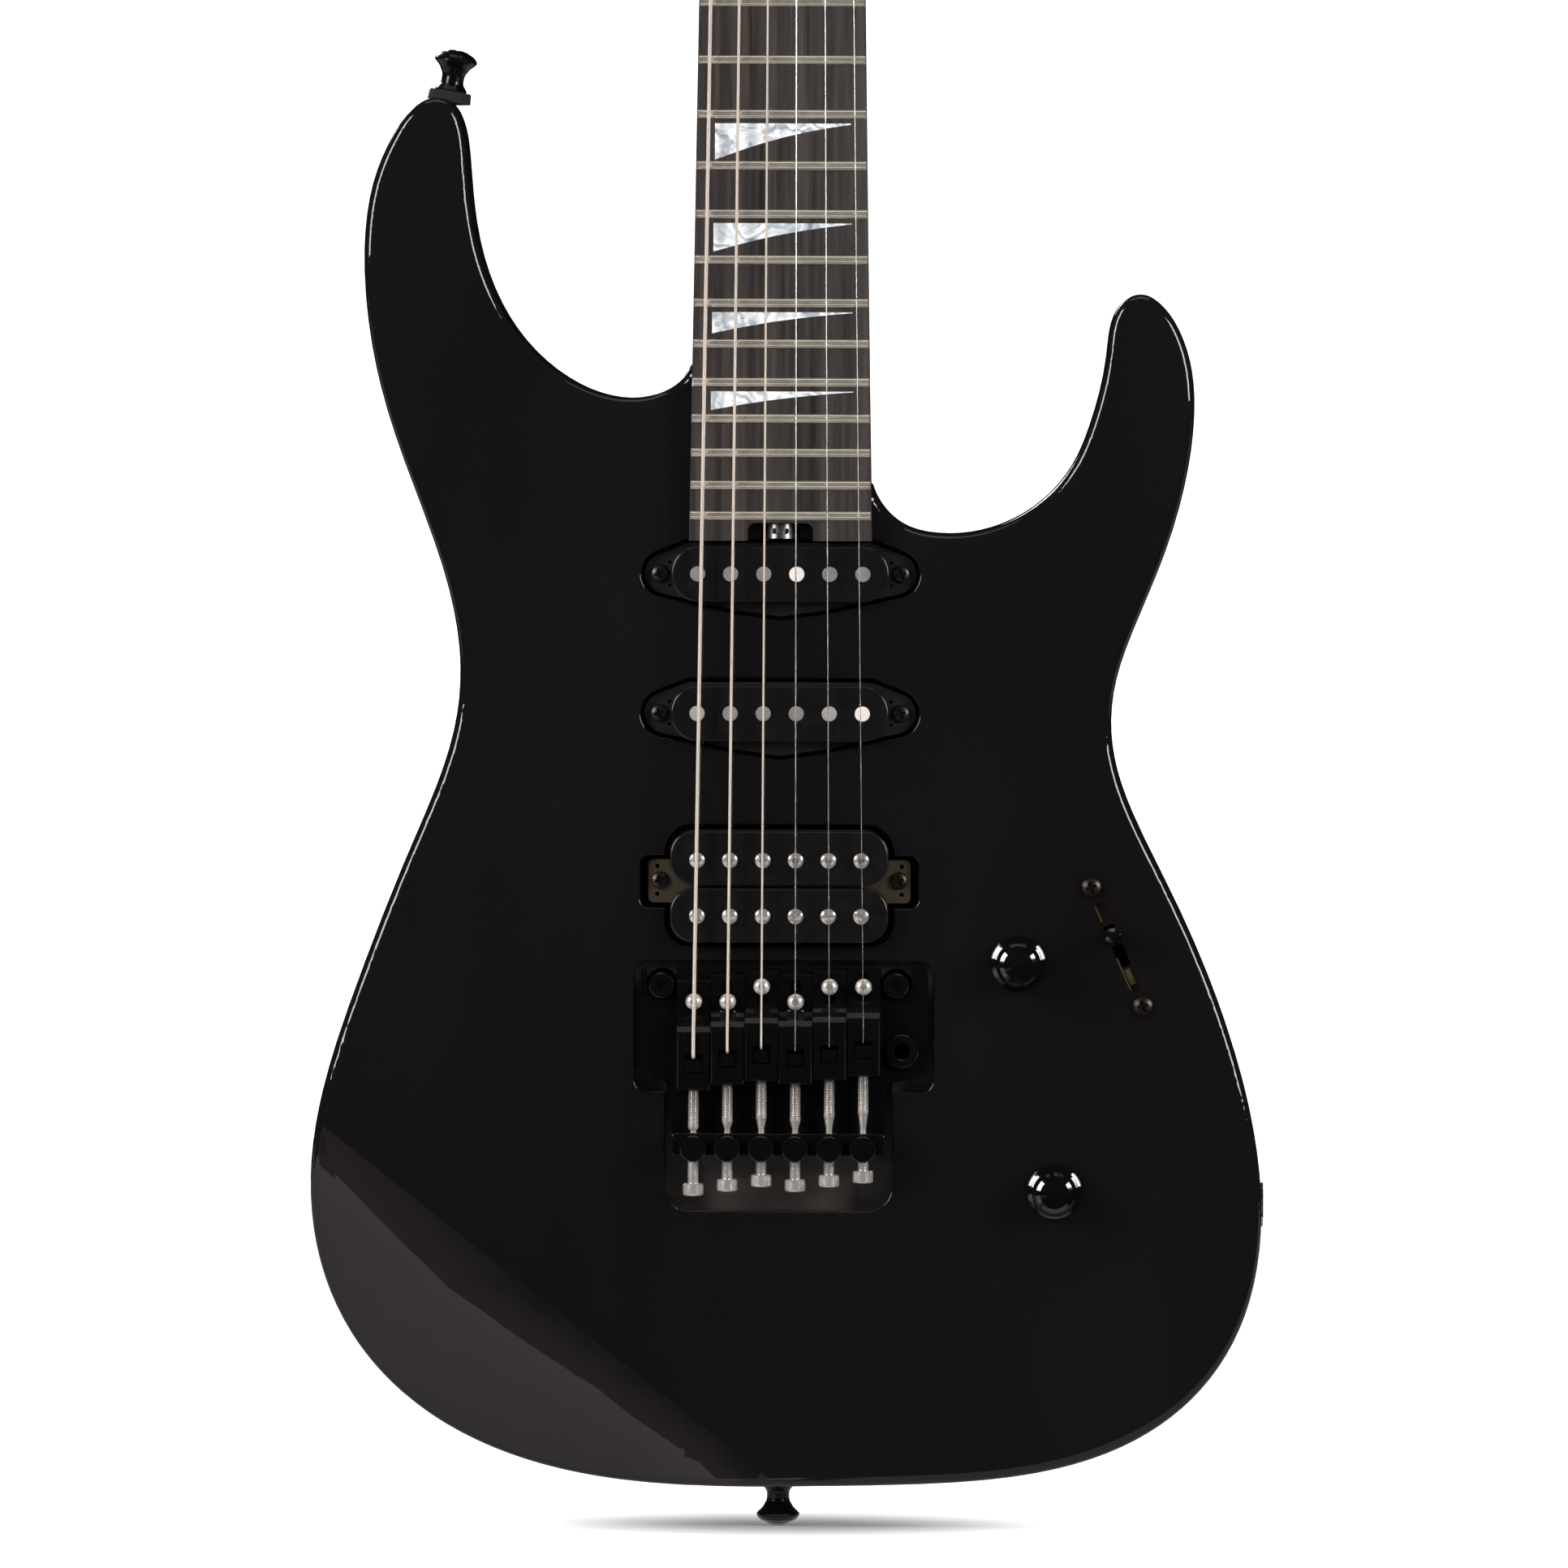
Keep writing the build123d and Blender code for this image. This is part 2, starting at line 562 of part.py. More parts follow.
def nut_clamp(x):
    clamp = slab(rrect(x, CLAMP_Z, 11.2, 10.5, 1.0), CLAMP_FRONT_Y, CLAMP_BACK_Y)
    clamp = soften(clamp, front_edges(clamp), 0.7)
    return clamp - ycyl(x, CLAMP_Z, 1.65, -33, -28)


def nut_screw(x):
    head = ycyl(x, CLAMP_Z, 3.0, -35.0, CLAMP_FRONT_Y - 0.02)
    screw = head + ycyl(x, CLAMP_Z, 1.55, -33, -22.0)
    return screw - hex_socket((x, -35.1, CLAMP_Z), TO_BACK, 2.6, 2.0)


def retainer():
    """Bar held by two screws."""
    bar_t = 3.0
    top = RETAINER_H + bar_t
    bar = extrude(plane_at(head_point(0, RETAINER_ALONG, RETAINER_H), HEAD_N)
                  * RectangleRounded(42, 5.0, 2.4), amount=bar_t)
    screws = []
    for s in SIDES:
        x, along = s * RETAINER_X, RETAINER_ALONG
        bar -= cyl(head_point(x, along, 0), HEAD_N, 1.6, 10)
        screw = (cyl(head_point(x, along, -8.5), HEAD_N, 1.45, 8.5 + top)
                 + cyl(head_point(x, along, top), HEAD_N, 2.9, 1.8))
        slot_plane = plane_at(head_point(x, along, top + 0.6), HEAD_N)
        screws.append(screw - extrude(slot_plane * cross(3.4, 0.8), amount=2))
    return [bar] + screws


save("locking_nut_base", nut_base())
save("nut_clamp_blocks", [nut_clamp(x) for x in CLAMP_X], [nut_screw(x) for x in CLAMP_X])
save("string_retainer", retainer())

# ---- tuning machines ----
GEAR_BACK, GEAR_FRONT = -21.0, -17.2      # gear chamber levels from the head's face
WORM_H = -19.1
WORM_OFFSET = 6.2                         # worm line from the post, along the edge
# winding post: radius, height above the face; worm wheel, waist, rounded end
POST_PROFILE = [(0, -20.9), (4.3, -20.9), (4.3, -17.3), (POST_R, -17.3), (POST_R, 4.6),
                (2.4, 5.6), (2.4, 8.2), (POST_R, 9.4), (POST_R, 11.6), (2.5, 12.1), (0, 12.1)]


def worm_point(post, out):
    """Point on the worm line, out from the post towards the bass side."""
    p = Vector(*post) + TUNER_ALONG * WORM_OFFSET + TUNER_OUT * out
    return head_point(p.X, p.Y, WORM_H)


def tuner_housing(post):
    mid = Vector(*post) + TUNER_OUT * 3.2 + TUNER_ALONG * 2.2
    plane = Plane(origin=head_point(mid.X, mid.Y, -HEAD_T), x_dir=head_dir(TUNER_OUT),
                  z_dir=tuple(-HEAD.z_dir))
    housing = extrude(plane * RectangleRounded(20.5, 16.0, 3.2), amount=9.6)
    large = [f for f in housing.faces() if f.area > 200]
    rear = sorted(large, key=lambda f: (f.center() - HEAD.origin).dot(HEAD.z_dir))[0]
    housing = soften(housing, rear.edges(), 1.6)
    housing -= cyl(head_point(*post, -22.0), HEAD_N, POST_R + 0.05, 12)
    gear_h = GEAR_FRONT - GEAR_BACK + 0.4
    housing -= cyl(head_point(*post, GEAR_BACK - 0.2), HEAD_N, 4.6, gear_h)
    return housing - cyl(worm_point(post, -5.0), head_dir(TUNER_OUT), 1.55, 30)


def tuner_bushing(post):
    hex_plane = Plane(origin=head_point(*post, 0), z_dir=HEAD_N)
    bushing = (cyl(head_point(*post, -HEAD_T), HEAD_N, 4.95, HEAD_T)
               + extrude(hex_plane * RegularPolygon(6.2, 6), amount=2.2))
    return bushing - cyl(head_point(*post, -HEAD_T - 1), HEAD_N, POST_R + 0.05, HEAD_T + 5)


def tuner_post(post):
    x, along = post
    hole = cyl(head_point(x - 5, along, 7.2), tuple(HEAD.x_dir), 0.75, 10)
    return turned(POST_PROFILE, head_point(x, along, 0), HEAD_N) - hole


def tuner_button(post):
    """Worm shaft, collar and oval button."""
    shaft = cyl(worm_point(post, -4.6), head_dir(TUNER_OUT), 1.5, 30.0)
    plane = Plane(origin=worm_point(post, 18.0), x_dir=head_dir(TUNER_ALONG),
                  z_dir=head_dir(TUNER_OUT))
    collar = extrude(plane * Circle(3.0), amount=4.0)
    middle = Plane(origin=plane.origin + plane.z_dir * 11.0, x_dir=plane.x_dir,
                   z_dir=plane.z_dir)
    button = middle * extrude(Ellipse(9.0, 3.4), amount=6.5, both=True)
    button = soften(button, button.edges().filter_by(GeomType.ELLIPSE), 1.8)
    return shaft + collar + button


save("tuner_housings", [(tuner_housing(post), tuner_bushing(post)) for post in POSTS])
for number, post in enumerate(POSTS, 1):
    save("tuner_post_%d" % number, tuner_post(post))
    save("tuner_button_%d" % number, tuner_button(post))

# ---- pickups ----
PLATE_FRONT_Y, PLATE_BACK_Y = -17.0, -15.4         # pickup baseplate faces
SINGLE_POLE_X, SINGLE_POLE_R = spread(10.42), 2.4
HUM_POLE_X, HUM_POLE_R = spread(10.35), 2.5
POLE_GAP = 0.04
# adjustable pole: radius, height from its back end
POLE_PROFILE = [(0, 0), (HUM_POLE_R, 0), (HUM_POLE_R, 14.6), (2.3, 15.0), (1.85, 15.3),
                (1.2, 15.5), (0, 15.6)]


def cover_and_coil(z, h, r, pole_xs, pole_z, pole_r, front):
    """Hollow cover and the coil inside it, both pierced by the poles."""
    w = 69.0
    cover = slab(rrect(0, z, w, h, r), front, PLATE_FRONT_Y)
    cover = soften(cover, front_edges(cover), 0.9)
    cover -= slab(rrect(0, z, w - 2.6, h - 2.6, r - 1.4), front + 1.4, PLATE_FRONT_Y)
    coil = slab(rrect(0, z, w - 3.2, h - 3.2, r - 1.7), front + 1.6, PLATE_FRONT_Y)
    for x in pole_xs:
        cover -= ycyl(x, pole_z, pole_r + POLE_GAP, front - 1, PLATE_FRONT_Y)
        coil -= ycyl(x, pole_z, pole_r + POLE_GAP, front - 1, PLATE_FRONT_Y + 1)
    return cover, coil


def plate_hole(x, z, r):
    return ycyl(x, z, r, -18, -15)


def single_plate(z):
    plate = slab(single_outline(z), PLATE_FRONT_Y, PLATE_BACK_Y)
    for x in SINGLE_POLE_X:
        plate -= plate_hole(x, z, SINGLE_POLE_R + POLE_GAP)
    for s in SIDES:
        plate -= plate_hole(s * SINGLE_SCREW_X, z, 1.7)
        for dz in (-3.6, 3.6):
            plate -= plate_hole(s * (SINGLE_SCREW_X - 3.2), z + dz, 0.5)
    return plate


def single_pole(x, z):
    pole = ycyl(x, z, SINGLE_POLE_R, -25.7, -12.5)
    return soften(pole, front_edges(pole), 0.25, flat=True)


def hum_plate():
    sketch = rrect(0, HUM_Z, 68.6, 35.4, 7.2) + rrect(0, 195.4, 82.8, 13.6, 1.6)
    plate = slab(sketch, PLATE_FRONT_Y, PLATE_BACK_Y)
    for z in HUM_POLE_Z:
        for x in HUM_POLE_X:
            plate -= plate_hole(x, z, HUM_POLE_R + POLE_GAP)
    for s in SIDES:
        plate -= plate_hole(s * HUM_SCREW_X, HUM_SCREW_Z, 1.7)
        for dz in (-4.4, 4.4):
            plate -= plate_hole(s * 38.6, HUM_SCREW_Z + dz, 0.7)
    return plate


def hum_pole(x, z):
    """Hex socket in the upper row, turned straight slots in the lower."""
    pole = turned(POLE_PROFILE, (x, -11.0, z), TO_FRONT)
    if z == HUM_POLE_Z[0]:
        return pole - hex_socket((x, -26.8, z), TO_BACK, 2.0, 2.0)
    return pole - slab(Pos(x, z) * Rot(0, 0, 52 - 3 * x) * Rectangle(5.4, 0.7), -27.5, -25.9)


def front_screw(x, z, seat_y, head_r, head_h, shank_r, tip_y):
    """Round-head screw pointing into the body, head towards the front."""
    profile = [(0, 0), (head_r, 0), (head_r, head_h * 0.35), (head_r * 0.86, head_h * 0.72),
               (head_r * 0.5, head_h * 0.95), (0, head_h)]
    screw = turned(profile, (x, seat_y, z), TO_FRONT) + ycyl(x, z, shank_r, seat_y - 0.2, tip_y)
    plane = plane_at((x, seat_y - head_h * 0.45, z), TO_FRONT)
    slot = Rot(0, 0, 20) * cross(head_r * 1.15, head_r * 0.26)
    return screw - extrude(plane * slot, amount=head_h)


singles = [cover_and_coil(z, 17.7, 8.6, SINGLE_POLE_X, z, SINGLE_POLE_R, -25.3)
           for z in SINGLE_Z]
hums = [cover_and_coil(z, 17.2, 7.4, HUM_POLE_X, pole_z, HUM_POLE_R, -25.4)
        for pole_z, z in zip(HUM_POLE_Z, HUM_COIL_Z)]
save("single_coil_covers", [cover for cover, _ in singles])
save("humbucker_bobbins", [cover for cover, _ in hums])
save("pickup_coils", [coil for _, coil in singles + hums])
save("pickup_baseplates", [single_plate(z) for z in SINGLE_Z], hum_plate())
save("pickup_poles", [single_pole(x, z) for z in SINGLE_Z for x in SINGLE_POLE_X],
     [hum_pole(x, z) for z in HUM_POLE_Z for x in HUM_POLE_X])
save("front_screws",
     [front_screw(x, z, PLATE_FRONT_Y - 0.02, 2.75, 1.9, 1.18, 1.0) for x, z in PICKUP_SCREWS],
     [front_screw(x, z, FRONT_Y - 0.02, 3.2, 2.1, 1.45, -11.0) for x, z in SWITCH_SCREWS])

# ---- volume and tone controls ----
KNOB_Y = -20.9
KNOB_BORE_R, KNOB_BORE_H = 3.0, 12.2
KNOB_PROFILE = [               # radius, height in front of KNOB_Y
    (KNOB_BORE_R, 2.6), (7.0, 2.6), (7.0, 0), (8.3, 0), (8.7, 0.35), (8.7, 1.6), (8.4, 2.2),
    (7.6, 2.6), (7.45, 4.5), (7.2, 9.0), (7.1, 11.0), (6.7, 12.6), (5.9, 13.7), (4.6, 14.5),
    (2.6, 15.0), (0, 15.15), (0, KNOB_BORE_H), (KNOB_BORE_R, KNOB_BORE_H),
]


def knob(x, z):
    """Knob and the shaft that fills its bore."""
    shaft = ycyl(x, z, KNOB_BORE_R, KNOB_Y - KNOB_BORE_H, -9.0)
    return [turned(KNOB_PROFILE, (x, KNOB_Y, z), TO_FRONT), shaft]


def potentiometer(x, z):
    pot = ycyl(x, z, 12.0, -13.9, -5.0) + ycyl(x, z, 4.7, -20.4, -13.0)
    pot -= ycyl(x, z, KNOB_BORE_R + 0.05, -23, -8.5)
    nut = extrude(plane_at((x, FRONT_Y - 0.05, z), TO_FRONT) * RegularPolygon(6.3, 6),
                  amount=2.2)
    return [pot, nut - ycyl(x, z, 4.72, -24, -19)]


save("volume_knob", knob(*VOLUME))
save("tone_knob", knob(*TONE))
save("potentiometers", potentiometer(*VOLUME), potentiometer(*TONE))

# ---- blade switch ----
SWITCH_PIVOT = Vector(SWITCH_X, 2.0, SWITCH_Z)
LEVER_REST = -7.3              # degrees; negative leans towards the upper screw
# lever tip: radius, height in front of its base
TIP_PROFILE = [(0, 0), (2.5, 0), (2.9, 0.6), (3.05, 3.0), (2.85, 6.2), (2.3, 7.8),
               (1.2, 8.7), (0, 8.95)]


def switch_box(along0, along1, across0, across1, y0, y1):
    """Box in the switch frame: along the slot, across it, and in depth."""
    frame = Plane(origin=(SWITCH_X, 0, SWITCH_Z), x_dir=tuple(SWITCH_ALONG),
                  z_dir=tuple(SWITCH_ACROSS))
    centre = Pos((along0 + along1) / 2, (y0 + y1) / 2, (across0 + across1) / 2)
    return frame * (centre * Box(along1 - along0, y1 - y0, across1 - across0))


def pivot_cyl(start, r, h):
    """Cylinder on the lever's pivot, from start mm before its centre."""
    return cyl(tuple(SWITCH_PIVOT - SWITCH_ACROSS * start), tuple(SWITCH_ACROSS), r, h)


def switch_frame():
    frame = switch_box(-24, 24, -6, 6, -13.9, -12.7)
    frame -= switch_box(-17, 17, -2.4, 2.4, -15, -12)
    frame += switch_box(-21, 21, 4.4, 6.0, -13.0, 8.0)
    frame += pivot_cyl(2.0, 1.2, 7.0)
    for x, z in SWITCH_SCREWS:
        frame -= ycyl(x, z, 1.5, -15, -12)
    return frame


def switch_lever():
    lever = switch_box(-2.3, 2.3, -0.9, 0.9, -27.5, -1.0) + pivot_cyl(0.9, 3.4, 1.8)
    lever -= pivot_cyl(3, 1.25, 6.0)
    tip = turned(TIP_PROFILE, (SWITCH_X, -24.2, SWITCH_Z), TO_FRONT)
    tip -= lever
    axis = Axis(tuple(SWITCH_PIVOT), tuple(SWITCH_ACROSS))
    return [lever.rotate(axis, LEVER_REST), tip.rotate(axis, LEVER_REST)]


save("selector_switch", switch_frame())
save("selector_lever", switch_lever())


# ---- output jack on the lower treble edge ----
def jack_cyl(x, r, h):
    return cyl((x, 0, JACK_Z), TO_TREBLE, r, h)


def output_jack():
    jack = jack_cyl(119, 6.4, 18.6) + jack_cyl(119, 4.7, 33.6)
    jack -= jack_cyl(124, 3.2, 40)
    washer_x = JACK_SEAT_X + 0.02
    washer = jack_cyl(washer_x, 9.6, 0.9) - jack_cyl(149, 4.75, 5)
    nut_plane = Plane(origin=(washer_x + 0.92, 0, JACK_Z), z_dir=TO_TREBLE)
    nut = extrude(nut_plane * RegularPolygon(7.0, 6), amount=1.8) - jack_cyl(149, 4.75, 8)
    return [jack, washer, nut]


save("output_jack", output_jack())

# ---- back covers and screws ----
# radius, height behind the back face
BACK_SCREW = [(0, -10.0), (1.05, -10.0), (1.05, -1.9), (2.7, 0.02), (2.3, 0.75),
              (1.2, 1.15), (0, 1.2)]
BACK_HOLE = [(0, -4), (1.15, -4), (1.15, -1.9), (2.76, 0.0), (2.76, 1), (0, 1)]


def back_screw(x, z):
    plane = plane_at((x, BACK_Y + 0.5, z), TO_BACK)
    return turned(BACK_SCREW, (x, BACK_Y, z), TO_BACK) - extrude(plane * cross(3.0, 0.7), amount=2)


def back_cover(sketch, slots, screws):
    cover = slab(sketch, BACK_Y - COVER_T + COVER_GAP, BACK_Y)
    for slot in slots:
        cover -= slab(slot, 15, 21)
    for x, z in screws:
        cover -= turned(BACK_HOLE, (x, BACK_Y, z), TO_BACK)
    return cover


cover_slots = [Pos(x, 134) * SlotOverall(14, 5.4, rotation=90) for x in spread(9.0)]
save("spring_cover", back_cover(rrect(0, SPRING_COVER_Z, 73.4, 191.4, 8.7), cover_slots,
                                SPRING_COVER_SCREWS))
save("control_cover", back_cover(round_poly(grow(CONTROL, 6.7), 8.7), [],
                                 CONTROL_COVER_SCREWS))
save("cover_screws", [back_screw(x, z) for x, z in SPRING_COVER_SCREWS + CONTROL_COVER_SCREWS])

# ---- strap buttons, their screws, and a felt washer under the horn's ----
# radius, height above the seat
STRAP_BUTTON = [(2.3, 0), (5.0, 0), (5.1, 0.5), (4.3, 1.6), (3.75, 2.3), (3.55, 3.2),
                (3.55, 4.6), (3.75, 5.6), (4.9, 7.6), (6.3, 9.0), (6.75, 9.5), (6.8, 10.0),
                (6.5, 10.7), (5.6, 11.6), (4.4, 12.2), (4.2, 12.3), (2.3, 10.2)]
STRAP_SCREW = [(0, -16), (0.3, -16), (2.15, -12), (2.15, 10.05), (4.1, 12.2), (3.4, 12.7),
               (1.8, 13.1), (0, 13.2)]
FELT = [(2.4, 0), (6.4, 0), (6.7, -0.6), (6.9, -3.4), (2.4, -4.2)]
STRAP_END_Z = BRIDGE_Z - 144.9


def strap_set(p, axis):
    """Button and its screw."""
    screw = turned(STRAP_SCREW, p, axis)
    plane = Plane(origin=tuple(Vector(*p) + Vector(*axis) * 12.2), z_dir=axis)
    return turned(STRAP_BUTTON, p, axis), screw - extrude(plane * cross(4.6, 1.0), amount=3)


end_button, end_screw = strap_set((0, 0, STRAP_END_Z), (0, 0, -1))
horn_button, horn_screw = strap_set(tuple(HORN_BASE), tuple(HORN_AXIS))
end_button = end_button - wing_treble - core_body
save("strap_buttons", end_button, horn_button, end_screw, horn_screw)
felt = turned(FELT, tuple(HORN_BASE), tuple(HORN_AXIS)) - wing_bass
save("strap_button_felt", sorted(felt.solids(), key=lambda s: -s.volume)[0])

# ---- tremolo base plate, block and pivots ----
TREM_OUTLINE = [(-33.7, 108.8), (-33.7, 131.5), (-43.6, 134.5), (-43.6, 168.3),
                (47.0, 168.3), (47.0, 134.5), (33.7, 131.5), (33.7, 108.8)]     # x, z
RAIL_FRONT_Y, RAIL_BACK_Y = -29.6, -27.6           # rail that carries the fine tuners
ARM_X, ARM_Z = 38.9, 142.2
# radius, depth from the front end
INTONATION_SCREW = [(0, 0), (1.4, 0), (1.4, 7.2), (2.6, 7.2), (2.62, 8.9), (2.45, 9.6),
                    (1.95, 10.15), (1.2, 10.45), (0, 10.55)]                    # from its tip
PIVOT_POST = [(0, 0), (3.6, 0), (4.0, 0.4), (4.0, 3.0), (3.4, 4.0), (4.0, 5.0),
              (4.0, 14.2), (3.3, 14.2), (3.3, 30), (0, 30)]                     # from its head


def base_plate():
    plate = slab(round_poly(TREM_OUTLINE, 1.6), TREM_FRONT, TREM_BACK)
    notch_r = 4.7
    for s in SIDES:
        x = s * PIVOT_X
        plate -= ycyl(x, PIVOT_Z, notch_r, -30, -10)
        plate -= box(x - notch_r, x + notch_r, -30, -10, PIVOT_Z, 175)
    for x0, x1 in ((-33.7, -31.2), (31.2, 33.7)):
        plate += box(x0, x1, RAIL_BACK_Y, TREM_FRONT + 0.5, 109.2, 116.4)
    rail = slab(rrect(0, 112.8, 67.4, 7.2, 1.2), RAIL_FRONT_Y, RAIL_BACK_Y)
    plate += soften(rail, front_edges(rail), 0.6)
    for x, z in zip(BRIDGE_X, INTONATION_Z):
        plate -= ycyl(x, FINE_TUNER_Z, 1.66, -31, -27)
        plate -= ycyl(x, z, 1.45, -23, -18)
    plate -= ycyl(ARM_X, ARM_Z, 4.45, -23, -18)
    for x in BLOCK_SCREW_X:
        plate -= ycyl(x, BLOCK_SCREW_Z, 2.1, -22.5, -18)
    return plate


def arm_socket():
    socket = (ycyl(ARM_X, ARM_Z, 5.25, -24.6, TREM_FRONT)
              + ycyl(ARM_X, ARM_Z, 4.4, -22, -13.0))
    socket -= ycyl(ARM_X, ARM_Z, 2.6, -26, -13.6)
    return soften(socket, front_edges(socket), 0.35, flat=True)


def sustain_block():
    block = box(-33.0, 33.0, TREM_BACK, 13.0, 136.0, 151.0)
    block = soften(block, block.edges().filter_by(Axis.Y), 1.0, flat=True)
    for x in BLOCK_SCREW_X:
        block -= ycyl(x, BLOCK_SCREW_Z, 2.0, -19, -4)
    for x in SPRING_X:
        block -= cyl((x, SPRING_Y, 145.5), UP_NECK, 1.3, 7)
    return block


def intonation_screw(x, z):
    screw = turned(INTONATION_SCREW, (x, -17.2, z), TO_FRONT)
    return screw - hex_socket((x, -28.2, z), TO_BACK, 2.0, 2.6)


def pivot_set(x):
    """Pivot post and its insert."""
    post = turned(PIVOT_POST, (x, -24.3, PIVOT_Z), TO_BACK)
    post -= hex_socket((x, -24.4, PIVOT_Z), TO_BACK, 3.0, 3.0)
    insert = ycyl(x, PIVOT_Z, 4.98, -10.0, 7.9) - ycyl(x, PIVOT_Z, 3.35, -11, 7.0)
    return [post, insert]


save("bridge_baseplate", base_plate(), arm_socket())
save("sustain_block", sustain_block(),
     [ycyl(x, BLOCK_SCREW_Z, 1.95, -21.6, -5) for x in BLOCK_SCREW_X])
save("intonation_screws", [intonation_screw(x, z) for x, z in zip(BRIDGE_X, INTONATION_Z)])
save("pivot_posts", [pivot_set(s * PIVOT_X) for s in SIDES])

# ---- saddles and fine tuners ----
SADDLE_HALF = 5.25
SADDLE_SCREW_Y = -25.5
SADDLE_HEAD_Z = [-52.4, -51.0, -49.5, -51.0, -49.5, -48.2]   # screw ends from the bridge line


def saddle_z(i):
    return BRIDGE_Z + SADDLE_SHIFT[i]


def saddle_crest(i):
    return BRIDGE_STRING_Y + arch(BRIDGE_X[i])


def saddle_body(i):
    x, z, crest = BRIDGE_X[i], saddle_z(i), saddle_crest(i)
    outline = [     # z from the crest, y
        (11.0, TREM_FRONT), (-16.7, TREM_FRONT - 0.8), (-16.7, crest + 1.5),
        (-16.2, crest + 0.9), (-11.5, crest + 0.35), (-5.0, crest + 0.1), (-0.4, crest),
        (1.6, crest + 0.45), (3.2, crest + 1.8), (4.6, crest + 4.0), (5.9, -24.6),
        (6.6, -24.25), (17.2, -24.2), (17.8, -23.6), (17.8, TREM_FRONT),
    ]
    # this plane's local y runs along -Y
    side = Plane(origin=(x - SADDLE_HALF, 0, z), x_dir=(0, 0, 1), z_dir=TO_TREBLE)
    sketch = side * poly([(dz, -y) for dz, y in outline])
    saddle = extrude(sketch, amount=2 * SADDLE_HALF, dir=TO_TREBLE)
    # string block pocket, screw slot, channel around the slot, long screw bore
    saddle -= box(x - 2.9, x + 2.9, -35, -23.6, z - 11.3, z - 5.6)
    saddle -= slab(Pos(x, z + 11.4) * SlotOverall(9.2, 3.6, rotation=90), -28, -20)
    saddle -= box(x - 3.0, x + 3.0, -35, -24.2, z + 6.5, z + 18.5)
    saddle -= cyl((x, SADDLE_SCREW_Y, z - 20), UP_NECK, 1.7, 12)
    corners = []
    for e in saddle.edges():
        a, b = e @ 0, e @ 1
        on_side = abs(a.X - b.X) < 1e-6 and abs(abs(a.X - x) - SADDLE_HALF) < 1e-3
        if e.length > 3 and on_side and min(a.Y, b.Y) < -26 and max(a.Y, b.Y) < -25:
            corners.append(e)
    return soften(saddle, corners, 0.45, flat=True)


def saddle_screw(i):
    """Long screw that pushes the string block."""
    x, z = BRIDGE_X[i], saddle_z(i)
    end = BRIDGE_Z + SADDLE_HEAD_Z[i]
    profile = [
        (0, end), (2.9, end), (3.25, end + 0.4), (3.25, end + 3.4), (3.0, end + 3.8),
        (1.7, end + 3.9), (1.7, BRIDGE_Z - 33.5), (0.95, BRIDGE_Z - 32.6),
        (0.95, BRIDGE_Z - 31.4), (1.45, z - 29.2), (1.68, z - 28.4), (1.68, z - 27.2),
        (1.62, z - 27.0), (1.62, z - 11.05), (0, z - 11.05),
    ]
    screw = turned(profile, (x, SADDLE_SCREW_Y, 0), UP_NECK)
    return screw - hex_socket((x, SADDLE_SCREW_Y, end - 0.1), UP_NECK, 3.0, 2.6)


def fine_tuner(x):
    """Knurled disc on a stem."""
    disc = ycyl(x, FINE_TUNER_Z, 4.25, -33.0, -29.85)
    disc = soften(disc, front_edges(disc), 0.5, flat=True)
    for k in range(20):
        angle = math.radians(18 * k)
        disc -= ycyl(x + 4.45 * math.cos(angle), FINE_TUNER_Z + 4.45 * math.sin(angle),
                     0.42, -33.1, -29)
    return disc + ycyl(x, FINE_TUNER_Z, 1.6, -30, -27.3)


for i, x in enumerate(BRIDGE_X):
    z = saddle_z(i)
    string_block = box(x - 2.7, x + 2.7, -29.0, -23.75, z - 11.0, z - 7.0)
    save("saddle_%d" % (i + 1), saddle_body(i), string_block, saddle_screw(i))
    save("fine_tuner_%d" % (i + 1), fine_tuner(x))

# ---- spring claw and springs ----
HOOK_X, HOOK_Y = (-20.5, 0.0, 20.5), 11.6


def spring_claw():
    claw = box(-26, 26, 7.6, 9.4, 281.0, 288.0) + box(-26, 26, 7.6, 14.0, 286.4, 288.0)
    for s in SIDES:
        claw -= cyl((s * CLAW_SCREW_X, CLAW_SCREW_Y, 280), UP_NECK, 2.1, 12)
    for s in SIDES:
        x = s * CLAW_SCREW_X
        claw -= box(x - 3.6, x + 3.6, 6, 13.4, 280.5, 286.35)
    for x in HOOK_X:
        claw -= cyl((x, HOOK_Y, 285), UP_NECK, 1.0, 5)
    return claw


def claw_screw(x):
    return (cyl((x, CLAW_SCREW_Y, 284.2), UP_NECK, 3.0, 2.1)
            + cyl((x, CLAW_SCREW_Y, 285), UP_NECK, 1.85, 34))


def spring(x, hook_x):
    """Tube for the coils, with end bars, a pin into the block and a claw hook."""
    y = SPRING_Y
    coils = cyl((x, y, 160), UP_NECK, 3.9, 112) - cyl((x, y, 159), UP_NECK, 3.1, 114)
    coils += (box(x - 3.4, x + 3.4, y - 0.4, y + 0.4, 160, 161.5)
              + cyl((x, y, 146), UP_NECK, 0.75, 15))
    coils += box(x - 3.4, x + 3.4, y - 0.4, y + 0.4, 270.5, 272)
    bend = (hook_x, HOOK_Y, 285.6)
    coils += rod((x, y, 271), bend, 0.6)
    return coils + rod(bend, (hook_x, HOOK_Y, 290.2), 0.6)


save("spring_claw", spring_claw(), [claw_screw(s * CLAW_SCREW_X) for s in SIDES])
save("tremolo_springs", [spring(x, hook_x) for x, hook_x in zip(SPRING_X, HOOK_X)])


